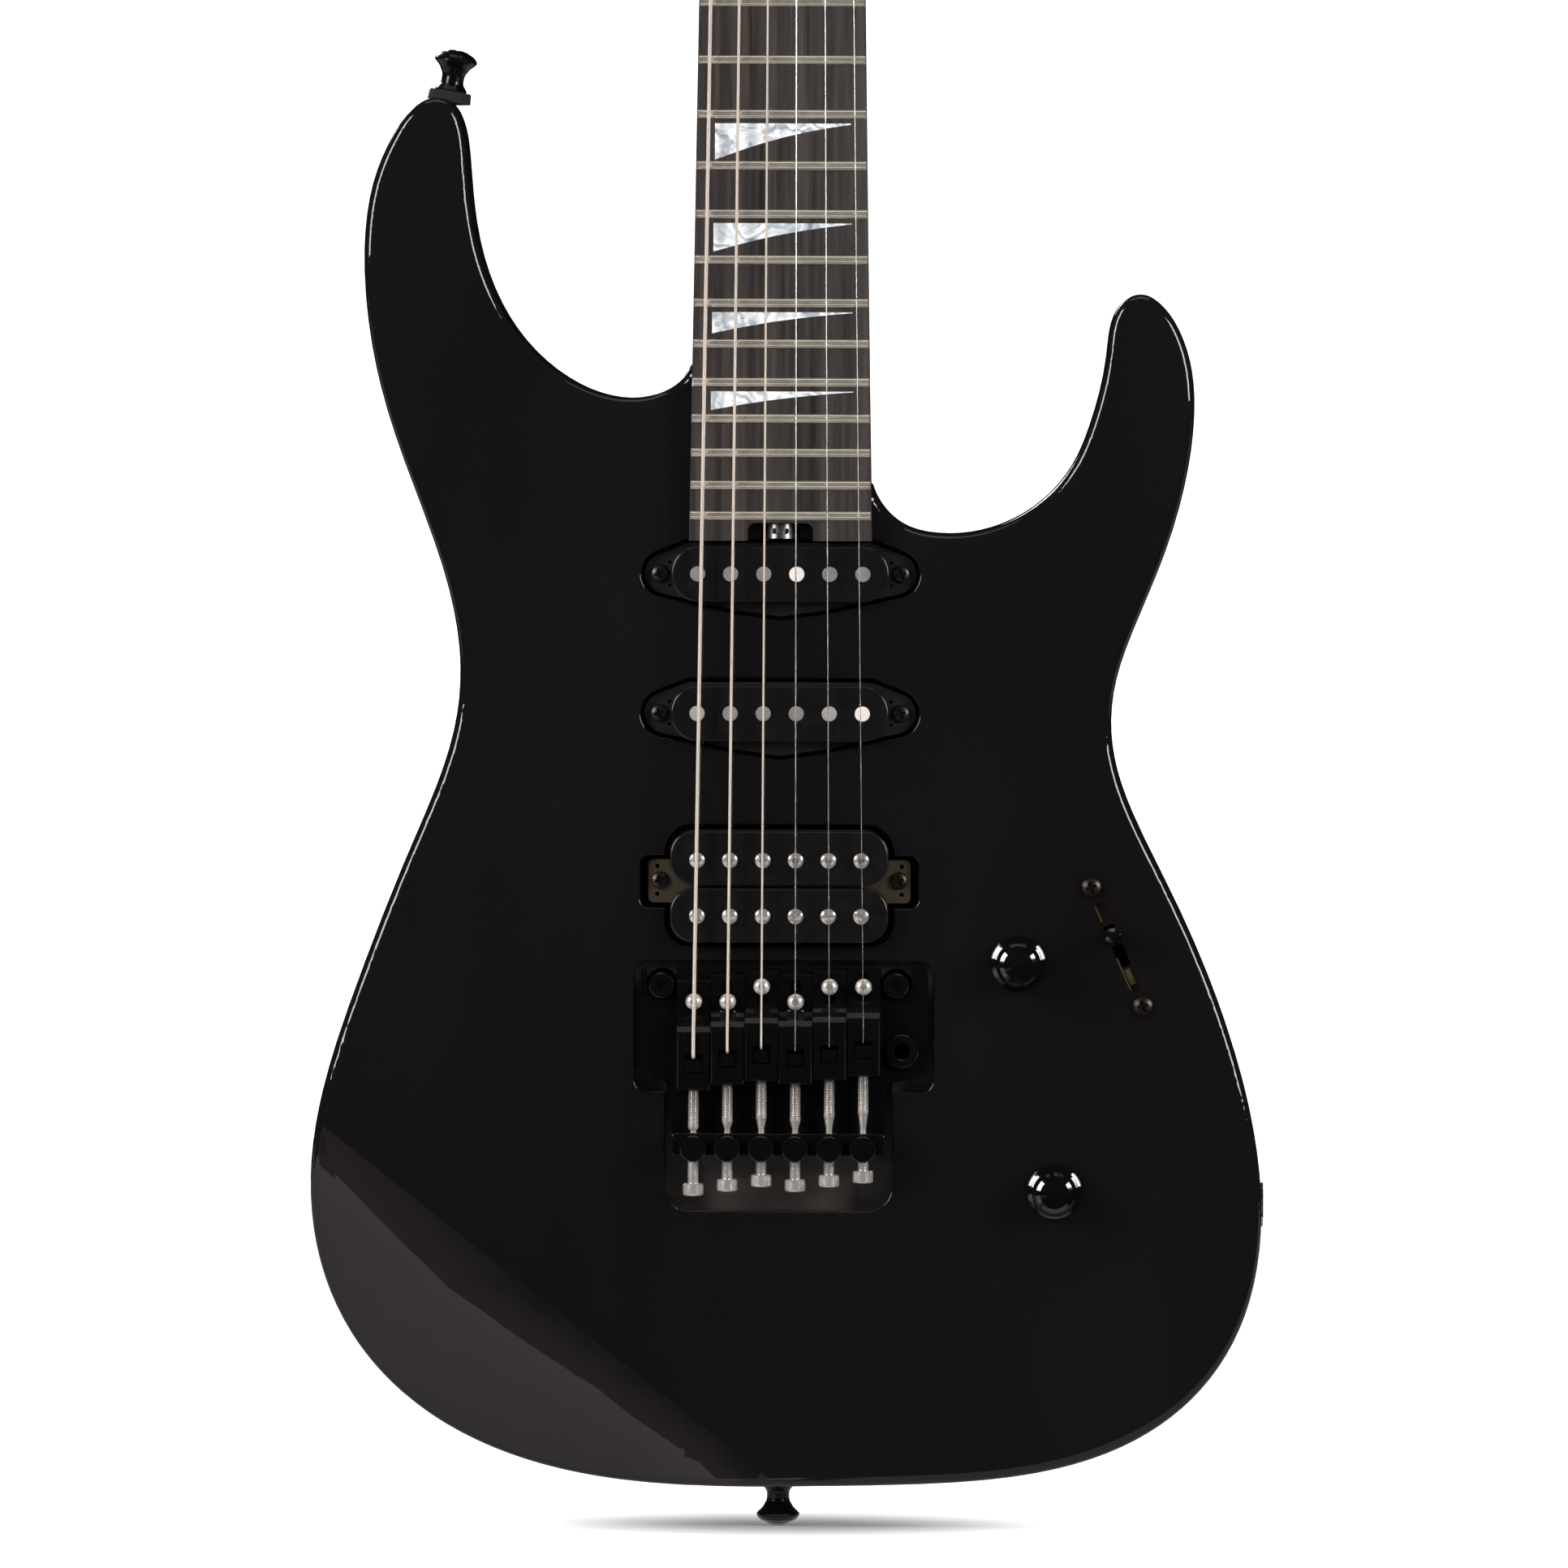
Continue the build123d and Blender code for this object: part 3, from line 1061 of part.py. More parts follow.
# ---- strings ----
def string(i):
    """Rods from the string block over saddle and nut, under the retainer, to the post."""
    r, x, nut_x = STRING_R[i], BRIDGE_X[i], NUT_X[i]
    z = saddle_z(i)
    bridge_y = saddle_crest(i) - r - 0.02
    under_bar = RETAINER_H - r - 0.06
    post_x, post_along = POSTS[i]
    points = [
        (x, SADDLE_SCREW_Y, z - 6.3),
        (x, bridge_y, z - 6.3),
        (x, bridge_y, z),
        (nut_x, nut_y(i), NUT_Z),
        (nut_x, nut_y(i), NUT_END_Z + 0.3),
        head_point(nut_x * 0.99, 12.0, under_bar),
        head_point(nut_x * 0.98, 18.0, under_bar),
        head_point(post_x + POST_R + r + STRING_GAP, post_along, 6.0 + r),
    ]
    path = rod(points[0], points[1], r)
    for a, b in zip(points[1:-1], points[2:]):
        path += rod(a, b, r)
    for p in points[1:-1]:
        path += Pos(*p) * Sphere(r)
    return path


save("strings", [string(i) for i in range(6)])
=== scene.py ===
# An electric guitar with a locking tremolo, standing upright on a pale sweep.
# +Z runs up the neck, the front faces -Y, the bass side is -X.
# Shapes are worked out in millimetres and scaled to metres as meshes are built.
# The stage, lights and camera are given in metres.
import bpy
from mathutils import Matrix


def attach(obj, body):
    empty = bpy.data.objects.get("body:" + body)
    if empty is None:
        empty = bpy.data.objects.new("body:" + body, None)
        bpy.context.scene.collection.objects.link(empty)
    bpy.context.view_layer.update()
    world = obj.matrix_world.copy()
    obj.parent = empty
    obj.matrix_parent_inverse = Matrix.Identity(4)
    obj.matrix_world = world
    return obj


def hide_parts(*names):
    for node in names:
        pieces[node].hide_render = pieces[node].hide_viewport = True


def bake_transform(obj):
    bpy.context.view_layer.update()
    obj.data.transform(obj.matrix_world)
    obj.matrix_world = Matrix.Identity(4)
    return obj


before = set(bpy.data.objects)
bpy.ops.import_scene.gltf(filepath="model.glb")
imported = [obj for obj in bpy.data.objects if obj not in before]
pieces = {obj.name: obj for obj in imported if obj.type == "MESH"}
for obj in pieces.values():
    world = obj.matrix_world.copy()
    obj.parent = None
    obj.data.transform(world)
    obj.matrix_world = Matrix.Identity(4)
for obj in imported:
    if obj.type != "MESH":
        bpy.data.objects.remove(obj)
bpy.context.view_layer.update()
import bpy
import bmesh
import math
import numpy as np
from mathutils import Vector, Matrix

MM = 0.001

# strings, thickest first
STRING_RADII = [0.585, 0.457, 0.330, 0.216, 0.165, 0.127]
SADDLE_SHIFT = [-2.4, -0.7, 0.5, -0.4, 0.9, 2.2]  # each saddle along Z
SADDLE_Z = 149
SADDLE_PITCH = 10.7
NUT_PITCH = 7.34
POLE_PITCH = 10.4
SPRING_Y = 9.5


# ------------------------------------------------------------ shader nodes
def add_node(tree, kind, inputs=None, **settings):
    """Add a node; each input is given a value or the socket that feeds it."""
    node = tree.nodes.new(kind)
    for key, value in settings.items():
        setattr(node, key, value)
    for key, value in (inputs or {}).items():
        if isinstance(value, bpy.types.NodeSocket):
            tree.links.new(value, node.inputs[key])
        else:
            node.inputs[key].default_value = value
    return node


def color_mix(tree, factor, first, second, **settings):
    mix = add_node(tree, "ShaderNodeMix", data_type="RGBA", **settings,
                   inputs={"Factor": factor, 6: first, 7: second})
    return mix.outputs[2]


def shade(color, factor):
    return tuple(min(1, c * factor) for c in color)


EVEN = (1, 1, 1)


class Surface:
    """A Principled material with procedural detail in object space."""

    def __init__(self, name, base, rough, metallic=0.0, coat=0.0, coat_rough=0.03, specular=0.5):
        self.material = bpy.data.materials.new(name)
        self.material.use_nodes = True
        self.tree = self.material.node_tree
        self.inputs = self.tree.nodes["Principled BSDF"].inputs
        self.inputs["Base Color"].default_value = (*base, 1)
        self.inputs["Roughness"].default_value = rough
        self.inputs["Metallic"].default_value = metallic
        self.inputs["Coat Weight"].default_value = coat
        self.inputs["Coat Roughness"].default_value = coat_rough
        self.inputs["Specular IOR Level"].default_value = specular
        self.position = self.node("ShaderNodeTexCoord").outputs["Object"]
        self.normal = None

    def node(self, kind, inputs=None, **settings):
        return add_node(self.tree, kind, inputs, **settings)

    def feed(self, name, socket):
        self.tree.links.new(socket, self.inputs[name])

    def noise(self, scale, stretch=EVEN, detail=4.0, rough=0.55, warp=0.0):
        mapping = self.node("ShaderNodeMapping", {
            "Scale": [scale * k for k in stretch], "Vector": self.position})
        return self.node("ShaderNodeTexNoise", {
            "Scale": 1.0, "Detail": detail, "Roughness": rough, "Distortion": warp,
            "Vector": mapping.outputs[0]}).outputs["Fac"]

    def thread(self, pitch):
        """Bands along Z, one per pitch; 0.314 is band scale times pitch."""
        return self.node("ShaderNodeTexWave", {"Scale": 0.314 / pitch, "Vector": self.position},
                         bands_direction="Z").outputs["Fac"]

    def ramp(self, factor, stops):
        node = self.node("ShaderNodeValToRGB", {"Fac": factor})
        elements = node.color_ramp.elements
        while len(elements) < len(stops):
            elements.new(0.5)
        for element, (position, color) in zip(elements, stops):
            element.position = position
            element.color = (*color, 1)
        return node.outputs["Color"]

    def color(self, factor, stops):
        self.feed("Base Color", self.ramp(factor, stops))

    def mottle(self, factor, dark, light):
        self.color(factor, [(0.3, dark), (0.7, light)])

    def roughness(self, factor, low, high):
        node = self.node("ShaderNodeMapRange", {
            "From Min": 0.3, "From Max": 0.7, "To Min": low, "To Max": high, "Value": factor})
        self.feed("Roughness", node.outputs[0])

    def bump(self, height, distance, strength):
        """Add a bump on top of any earlier one."""
        node = self.node("ShaderNodeBump", {
            "Strength": strength, "Distance": distance, "Height": height})
        if self.normal is not None:
            self.tree.links.new(self.normal, node.inputs["Normal"])
        self.normal = node.outputs["Normal"]
        self.feed("Normal", self.normal)


# ------------------------------------------------------------ materials
def lacquer():
    """Deep black gloss with faint orange peel and an uneven shine."""
    m = Surface("black_lacquer", base=(0.0075, 0.0066, 0.0072), rough=0.045,
                coat=1.0, coat_rough=0.02, specular=0.0)
    m.roughness(m.noise(scale=55, detail=6, rough=0.7), low=0.03, high=0.075)
    m.color(m.noise(scale=14, stretch=(1, 1, 0.4), detail=3),
            [(0.35, (0.0056, 0.0049, 0.0055)), (0.7, (0.0076, 0.0066, 0.0072))])
    m.bump(m.noise(scale=320, detail=2), distance=3e-6, strength=0.25)
    return m.material


def ebony():
    """Streaks along the neck, darker bands and open pores."""
    m = Surface("ebony", base=(0.03, 0.026, 0.023), rough=0.5, specular=0.4)
    streaks = m.noise(scale=420, stretch=(1, 1, 0.03), detail=5, rough=0.6, warp=0.4)
    bands = m.noise(scale=130, stretch=(1, 1, 0.05), detail=3, rough=0.5, warp=0.6)
    pores = m.noise(scale=1900, stretch=(1, 1, 0.06), detail=2)
    streak_color = m.ramp(streaks, [
        (0.30, (0.018, 0.015, 0.0145)), (0.44, (0.035, 0.030, 0.029)),
        (0.56, (0.046, 0.037, 0.035)), (0.72, (0.066, 0.056, 0.051))])
    band_color = m.ramp(bands, [
        (0.36, (0.60, 0.58, 0.58)), (0.48, (0.92, 0.90, 0.90)), (0.60, (1.0, 0.98, 0.93))])
    m.feed("Base Color", color_mix(m.tree, 1.0, streak_color, band_color, blend_type="MULTIPLY"))
    m.roughness(streaks, low=0.38, high=0.58)
    m.bump(m.ramp(pores, [(0.30, (0, 0, 0)), (0.42, (1, 1, 1))]), distance=4e-5, strength=0.5)
    m.bump(streaks, distance=2e-5, strength=0.4)
    return m.material


def pearl():
    """Folded bright layers with grey and blue depths."""
    m = Surface("pearl", base=(0.8, 0.82, 0.84), rough=0.16, coat=0.8, coat_rough=0.05)
    depths = m.noise(scale=85, stretch=(1, 1, 1.5), detail=4, rough=0.55, warp=3.0)
    layers = m.node("ShaderNodeTexWave", {
        "Scale": 42, "Distortion": 16, "Detail": 3, "Detail Scale": 1.3,
        "Vector": m.position}, wave_type="BANDS", bands_direction="DIAGONAL").outputs["Fac"]
    layer_color = m.ramp(layers, [
        (0.0, (0.46, 0.50, 0.55)), (0.25, (0.95, 0.98, 1.0)),
        (0.65, (1.0, 1.0, 1.0)), (1.0, (0.70, 0.74, 0.80))])
    depth_color = m.ramp(depths, [
        (0.36, (0.40, 0.46, 0.54)), (0.47, (1.0, 1.0, 0.99)),
        (0.56, (1, 0.99, 0.97)), (0.66, (0.62, 0.66, 0.72))])
    m.feed("Base Color", color_mix(m.tree, 0.8, layer_color, depth_color, blend_type="MULTIPLY"))
    m.roughness(depths, low=0.1, high=0.3)
    m.bump(layers, distance=1.5e-5, strength=0.3)
    return m.material


def metal(name, base, rough, grain=EVEN, scale=900, bump=4e-6, coat=0.0, metallic=1.0):
    """Grained metal; rough is the lowest and highest roughness."""
    m = Surface(name, base, rough[0], metallic, coat)
    grains = m.noise(scale, grain, detail=5)
    m.roughness(grains, *rough)
    m.mottle(m.noise(scale=160, detail=3), shade(base, 0.86), shade(base, 1.08))
    m.bump(grains, bump, strength=0.6)
    return m.material


def threaded():
    """Bright screw steel with a fine thread along Z, its grooves darkened as painted shade."""
    m = Surface("bright_thread", base=(0.84, 0.79, 0.75), rough=0.2, metallic=0.62)
    m.roughness(m.noise(scale=900), low=0.16, high=0.3)
    thread = m.thread(pitch=0.00055)
    m.bump(thread, distance=1.6e-4, strength=0.9)
    # the dark bands are painted shade in the thread grooves
    m.color(thread, [(0.0, (0.42, 0.38, 0.35)), (0.55, (0.86, 0.80, 0.76))])
    return m.material


def plastic(name, base, rough, bump, scale=1500, coat=0.0):
    """Fine-grained plastic; rough is the lowest and highest roughness."""
    m = Surface(name, base, rough[0], coat=coat, coat_rough=0.05)
    grains = m.noise(scale)
    m.roughness(m.noise(scale=60, detail=5, rough=0.65), *rough)
    m.bump(grains, bump, strength=0.5)
    m.mottle(m.noise(scale=200, detail=3), shade(base, 0.8), shade(base, 1.25))
    return m.material


def string_metal(name, base, rough, metallic, pitch=None):
    """String wire, with a winding of the given pitch or plain."""
    m = Surface(name, base, rough, metallic)
    m.roughness(m.noise(scale=900, stretch=(1, 1, 0.3)), low=rough, high=rough + 0.12)
    if pitch:
        winding = m.thread(pitch)
        m.bump(winding, distance=pitch * 0.25, strength=0.8)
        # the darker bands between the wraps are painted shade in the winding grooves
        m.color(winding, [(0.0, shade(base, 0.62)), (0.6, base)])
    else:
        m.mottle(m.noise(scale=300, stretch=(1, 1, 0.1), detail=3), shade(base, 0.85), base)
    return m.material


LACQUER = lacquer()
EBONY = ebony()
PEARL = pearl()
FRET = metal("fret_wire", base=(0.84, 0.78, 0.69), rough=(0.14, 0.28), grain=(0.05, 1, 1),
             scale=2400, bump=3e-6, metallic=0.8)
STEEL = metal("steel", base=(0.62, 0.61, 0.6), rough=(0.2, 0.4))
rod_finish = dict(rough=(0.42, 0.6), scale=2600, bump=1.2e-5)
POLE = metal("pole_rods", base=(0.36, 0.345, 0.335), metallic=0.7, **rod_finish)
# lighter copies of the rod steel: painted sheen and painted highlight on the rods that catch the
# lamps
POLE_PAINTED_SHEEN = metal("pole_rods_painted_sheen", base=(0.56, 0.54, 0.52), metallic=0.7, **rod_finish)
POLE_PAINTED_HIGHLIGHT = metal("pole_rods_painted_highlight", base=(0.92, 0.86, 0.83), metallic=0.35, **rod_finish)
POLE_SCREW = metal("pole_screws", base=(0.74, 0.70, 0.67), rough=(0.16, 0.26), metallic=0.82)
BRIGHT = metal("bright_screw", base=(0.84, 0.79, 0.75), rough=(0.16, 0.30), metallic=0.72)
THREAD = threaded()
BRASS = metal("brass", base=(0.70, 0.47, 0.26), rough=(0.25, 0.45))
EAR = metal("plated_ear", base=(0.105, 0.085, 0.055), rough=(0.28, 0.45), scale=700,
            metallic=0.55)
PLATED = metal("black_plating", base=(0.0095, 0.009, 0.0095), rough=(0.15, 0.30), scale=1200,
               bump=3e-6, coat=0.25, metallic=0.7)
DARK_SCREW = metal("black_screw", base=(0.05, 0.045, 0.042), rough=(0.3, 0.48), scale=1500,
                   bump=3e-6, coat=0.1, metallic=0.85)
SWITCH_SCREW = metal("switch_screw", base=(0.060, 0.050, 0.045), rough=(0.24, 0.4), scale=1500,
                     bump=3e-6, metallic=0.9)
SPRING = metal("spring_wire", base=(0.66, 0.65, 0.62), rough=(0.2, 0.4))
BLOCK = metal("block_brass", base=(0.58, 0.45, 0.25), rough=(0.3, 0.5), grain=(1, 1, 0.06),
              scale=1400, bump=8e-6)
COVER = plastic("pickup_plastic", base=(0.0065, 0.006, 0.006), rough=(0.16, 0.26), bump=6e-6)
FIBRE = plastic("flatwork_fibre", base=(0.008, 0.008, 0.008), rough=(0.35, 0.55), bump=2e-5)
KNOB = plastic("knob_gloss", base=(0.0025, 0.0025, 0.003), rough=(0.04, 0.09), bump=2e-6,
               scale=600, coat=1.0)
BACK = plastic("back_cover", base=(0.010, 0.010, 0.010), rough=(0.3, 0.45), bump=3e-5)
FELT = plastic("felt", base=(0.012, 0.012, 0.012), rough=(0.9, 1.0), bump=2.5e-4, scale=2600)
COIL = plastic("winding", base=(0.10, 0.03, 0.012), rough=(0.35, 0.5), bump=3e-5, scale=3000)
WOUND = [string_metal("wound_%d" % k, base=(0.98, 0.86, 0.77), rough=0.30, metallic=0.55,
                      pitch=pitch) for k, pitch in enumerate((0.00042, 0.00034, 0.00026))]
PLAIN = string_metal("plain_string", base=(0.80, 0.79, 0.78), rough=0.16, metallic=0.9)
# matte black paint in the bridge cavity, lightened to grey-brown as painted light
RECESS_PAINT_AND_LIGHT = plastic("recess_matte_paint_painted_light", base=(0.052, 0.043, 0.040), rough=(0.38, 0.6), bump=3e-5,
                 scale=900)
# copper-brown metal on the socket floors in the pivot posts: a painted highlight
SOCKET_PAINTED_HIGHLIGHT = metal("socket_floor_painted_highlight", base=(0.20, 0.135, 0.085), rough=(0.22, 0.45))
BOARD = plastic("switch_board", base=(0.14, 0.055, 0.03), rough=(0.35, 0.55), bump=2e-5)
LEAF = metal("leaf_brass", base=(0.900, 0.780, 0.360), rough=(0.25, 0.42), metallic=0.6)


# ------------------------------------------------------------ materials on the CAD pieces
def dress(name, base, *areas):
    """Cover a piece in base, then each (material, test) where face centres (mm) pass the test."""
    mesh = pieces[name].data
    mesh.materials.clear()
    mesh.materials.append(base)
    centres = np.zeros(len(mesh.polygons) * 3)
    mesh.polygons.foreach_get("center", centres)
    x, y, z = (centres.reshape(-1, 3) * 1000).T
    slots = np.zeros(len(mesh.polygons), np.int32)
    for slot, (material, test) in enumerate(areas, 1):
        mesh.materials.append(material)
        slots[test(x, y, z)] = slot
    mesh.polygons.foreach_set("material_index", slots)


def between(values, low, high):
    return (values > low) & (values < high)


def near_pole(x, k):
    """Near pole k, counted from the bass side."""
    return np.abs(x - (k - 2.5) * POLE_PITCH) < 3.2


def in_recess(x, y, z):
    """Inside the cavity round the bridge."""
    return (np.abs(x) < 50) & between(z, 84, 178) & between(y, -19.0, 2.0)


def in_socket(x, y, z):
    """The floor of the socket in a pivot post."""
    return (np.hypot(np.abs(x) - 37, z - 162.7) < 1.72) & between(y, -24.29, -19.5)


BRIDGE_PICKUP_TOP = 225
MIDDLE_PICKUP_TOP = 270
NECK_PICKUP_BOTTOM = 280


def on_bridge_pickup(x, y, z):
    return z < BRIDGE_PICKUP_TOP


# painted sheen on the first and fifth rods from the bass side of the middle pickup
def is_painted_sheen_rod(x, y, z):
    on_middle = between(z, BRIDGE_PICKUP_TOP, MIDDLE_PICKUP_TOP)
    return on_middle & (near_pole(x, 0) | near_pole(x, 4))


# painted highlight on the sixth rod of the middle pickup and the fourth rod of the neck pickup
def is_painted_highlight_rod(x, y, z):
    on_middle = between(z, BRIDGE_PICKUP_TOP, MIDDLE_PICKUP_TOP)
    return (on_middle & near_pole(x, 5)) | ((z > NECK_PICKUP_BOTTOM) & near_pole(x, 3))


for names, material in (
        ("fingerboard", EBONY),
        ("frets", FRET),
        ("position_markers", PEARL),
        ("truss_rod truss_rod_wheel spring_claw potentiometers output_jack", STEEL),
        ("tremolo_springs", SPRING),
        ("locking_nut_base nut_clamp_blocks string_retainer tuner_housings", PLATED),
        ("bridge_baseplate strap_buttons", PLATED),
        ("cover_screws", DARK_SCREW),
        ("intonation_screws", BRIGHT),
        ("sustain_block", BLOCK),
        ("single_coil_covers humbucker_bobbins", COVER),
        ("pickup_coils", COIL),
        ("volume_knob tone_knob", KNOB),
        ("spring_cover control_cover", BACK),
        ("strap_button_felt", FELT)):
    for name in names.split():
        dress(name, material)
for name in ("neck_core", "body_wing_bass", "body_wing_treble"):
    # the bridge cavity faces get the matte paint lightened as painted light
    dress(name, LACQUER, (RECESS_PAINT_AND_LIGHT, in_recess))
for k in range(1, 7):
    for name in ("tuner_post_%d", "tuner_button_%d", "fine_tuner_%d"):
        dress(name % k, PLATED)
for k, shift in enumerate(SADDLE_SHIFT, 1):
    # the screw starts below the saddle, and its first 10.4 mm are threaded
    screw_top = SADDLE_Z + shift - 16.75
    dress("saddle_%d" % k, PLATED,
          (BRIGHT, lambda x, y, z: z < screw_top),
          (THREAD, lambda x, y, z: between(z, screw_top - 10.4, screw_top)))
# the socket floors take the copper-brown painted highlight
dress("pivot_posts", PLATED, (SOCKET_PAINTED_HIGHLIGHT, in_socket))
dress("front_screws", DARK_SCREW, (SWITCH_SCREW, lambda x, y, z: x > 80))
dress("pickup_baseplates", FIBRE, (EAR, on_bridge_pickup))
# chosen rods get lighter steel as painted sheen and painted highlight
dress("pickup_poles", POLE, (POLE_SCREW, on_bridge_pickup), (POLE_PAINTED_SHEEN, is_painted_sheen_rod),
      (POLE_PAINTED_HIGHLIGHT, is_painted_highlight_rod))
dress("selector_lever", STEEL, (KNOB, lambda x, y, z: y < -24.0))
dress("selector_switch", STEEL, (BRASS, lambda x, y, z: y < -12.5))


# ------------------------------------------------------------ building new meshes
def link(name, mesh, material, smooth):
    obj = bpy.data.objects.new(name, mesh)
    bpy.context.scene.collection.objects.link(obj)
    mesh.materials.append(material)
    if smooth:
        mesh.polygons.foreach_set("use_smooth", [True] * len(mesh.polygons))
    return obj


def skin(name, rings, material, smooth):
    """Closed solid through rings of points (metres), capped at both ends."""
    bm = bmesh.new()
    rings = [[bm.verts.new(point) for point in ring] for ring in rings]
    count = len(rings[0])
    for ring, following in zip(rings[:-1], rings[1:]):
        for k in range(count):
            after = (k + 1) % count
            bm.faces.new((ring[k], ring[after], following[after], following[k]))
    bm.faces.new(rings[0][::-1])
    bm.faces.new(rings[-1])
    bmesh.ops.recalc_face_normals(bm, faces=bm.faces)
    mesh = bpy.data.meshes.new(name)
    bm.to_mesh(mesh)
    bm.free()
    return link(name, mesh, material, smooth)


def tube(name, points, radius, material, segments):
    """Round tube along points (mm); each ring's start is carried on without twist."""
    points = [p * MM for p in points]
    side = (points[1] - points[0]).normalized().orthogonal().normalized()
    angles = [2 * math.pi * k / segments for k in range(segments)]
    rings = []
    for i, p in enumerate(points):
        before = points[max(i - 1, 0)]
        after = points[min(i + 1, len(points) - 1)]
        along = (after - before).normalized()
        side = (side - along * side.dot(along)).normalized()
        other = along.cross(side)
        rings.append([p + (side * math.cos(a) + other * math.sin(a)) * (radius * MM)
                      for a in angles])
    return skin(name, rings, material, smooth=True)


# ------------------------------------------------------------ strings
HEAD_TILT = math.radians(12)
HEAD_START = (-20, 813.0)  # y, z where the headstock face leaves the neck
ARCH = 700                 # twice the radius of the arch across the strings
BRIDGE_Y = -30.3
NUT_Y = -27.5
NUT_Z = (796.7, 812.0)     # the strings run level between these
SADDLE_LENGTH = 6.3
POST_RADIUS = 3.0
POST_WAIST = 2.45
POST_FLANGE = 3.02
WAIST_HEIGHTS = (5.4, 8.4)
WINDING_TOP = 8.8
WINDING_TURNS = 2.6
TURN_STEPS = 20


def on_head(x, along, height):
    """A point on the tilted headstock: distance up it and height in front of its face."""
    c, s = math.cos(HEAD_TILT), math.sin(HEAD_TILT)
    return (x, HEAD_START[0] + s * along - c * height, HEAD_START[1] + c * along + s * height)


def rounded_path(corners, step=8.0, rounding=1.2):
    """Polyline with its corners rounded and its long spans divided."""
    corners = [Vector(c) for c in corners]
    rounded = [corners[0]]
    for a, b, c in zip(corners[:-2], corners[1:-1], corners[2:]):
        r = min(rounding, (b - a).length * 0.45, (c - b).length * 0.45)
        p = b + (a - b).normalized() * r
        q = b + (c - b).normalized() * r
        for k in range(7):
            t = k / 6
            rounded.append(p * (1 - t) ** 2 + b * 2 * t * (1 - t) + q * t * t)
    rounded.append(corners[-1])
    dense = [rounded[0]]
    for a, b in zip(rounded[:-1], rounded[1:]):
        count = max(1, int((b - a).length / step))
        dense += [a.lerp(b, k / count) for k in range(1, count + 1)]
    return dense


def string_points(i, radius):
    """From inside the saddle over the nut, then wound down the tuner post."""
    x = (i - 2.5) * SADDLE_PITCH
    y = BRIDGE_Y + x * x / ARCH - radius - 0.02
    z = SADDLE_Z + SADDLE_SHIFT[i]
    nut_x = (i - 2.5) * NUT_PITCH
    nut_y = NUT_Y + nut_x * nut_x / ARCH - radius
    low = 3.4 - radius - 0.06  # height just above the nut
    post_x = nut_x * 0.96 - POST_RADIUS - radius - 0.03
    post_along = 34.0 + 24.5 * i
    points = rounded_path([
        (x, -25.6, z - SADDLE_LENGTH), (x, y, z - SADDLE_LENGTH), (x, y, z),
        (nut_x, nut_y, NUT_Z[0]), (nut_x, nut_y, NUT_Z[1]),
        on_head(nut_x * 0.99, 12.0, low), on_head(nut_x * 0.98, 18.0, low),
        on_head(post_x + POST_RADIUS + radius + 0.05, post_along, WINDING_TOP)])
    steps = int(WINDING_TURNS * TURN_STEPS)
    for k in range(1, steps + 1):
        a = 2 * math.pi * WINDING_TURNS * k / steps
        height = WINDING_TOP - (2 * radius + 0.05) * a / (2 * math.pi)
        in_waist = WAIST_HEIGHTS[0] < height < WAIST_HEIGHTS[1]
        reach = (POST_WAIST if in_waist else POST_FLANGE) + radius
        points.append(Vector(on_head(post_x + reach * math.cos(a),
                                     post_along + reach * math.sin(a), height)))
    return points


for i, radius in enumerate(STRING_RADII):
    wound = i < len(WOUND)
    string = tube("string_%d" % (i + 1), string_points(i, radius), radius,
                  WOUND[i] if wound else PLAIN, segments=16 if wound else 12)
    if i == 0:
        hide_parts("strings")
    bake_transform(string)


# ------------------------------------------------------------ tremolo springs
COIL_Z = (162.0, 268.0)
COIL_RADIUS = 3.5
COIL_TURNS = 78
COIL_STEPS = COIL_TURNS * 14


def spring_points(x, claw_x):
    """Close-wound coil with a straight end at the block and a hook at the claw."""
    points = [(x, SPRING_Y, 146.5), (x, SPRING_Y, 152), (x, SPRING_Y, 159.5),
              (x + 1.6, SPRING_Y, 161.0)]
    for k in range(COIL_STEPS + 1):
        t = k / COIL_STEPS
        a = 2 * math.pi * COIL_TURNS * t
        points.append((x + COIL_RADIUS * math.cos(a), SPRING_Y + COIL_RADIUS * math.sin(a),
                       COIL_Z[0] + (COIL_Z[1] - COIL_Z[0]) * t))
    points += [(x + 1.6, SPRING_Y, 269.4), (x, SPRING_Y, 271), (claw_x, 11.0, 282),
               (claw_x, 11.6, 285.6), (claw_x, 11.6, 290.0)]
    return [Vector(p) for p in points]


for j, (x, claw_x) in enumerate(((-18.0, -20.5), (0.0, 0.0), (18.0, 20.5))):
    spring = tube("tremolo_spring_%d" % (j + 1), spring_points(x, claw_x), 0.58, SPRING,
                  segments=6)
    if j == 0:
        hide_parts("tremolo_springs")
    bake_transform(spring)


# ------------------------------------------------------------ contacts and boards in the switch slot
SLOT_TOP = Vector((98.5, 0, 194.0))
SLOT_BOTTOM = Vector((114.9, 0, 156.6))
SLOT_MIDDLE = (SLOT_TOP + SLOT_BOTTOM) / 2
SLOT_ALONG = (SLOT_BOTTOM - SLOT_TOP).normalized()
SLOT_ACROSS = Vector((-SLOT_ALONG.z, 0, SLOT_ALONG.x))


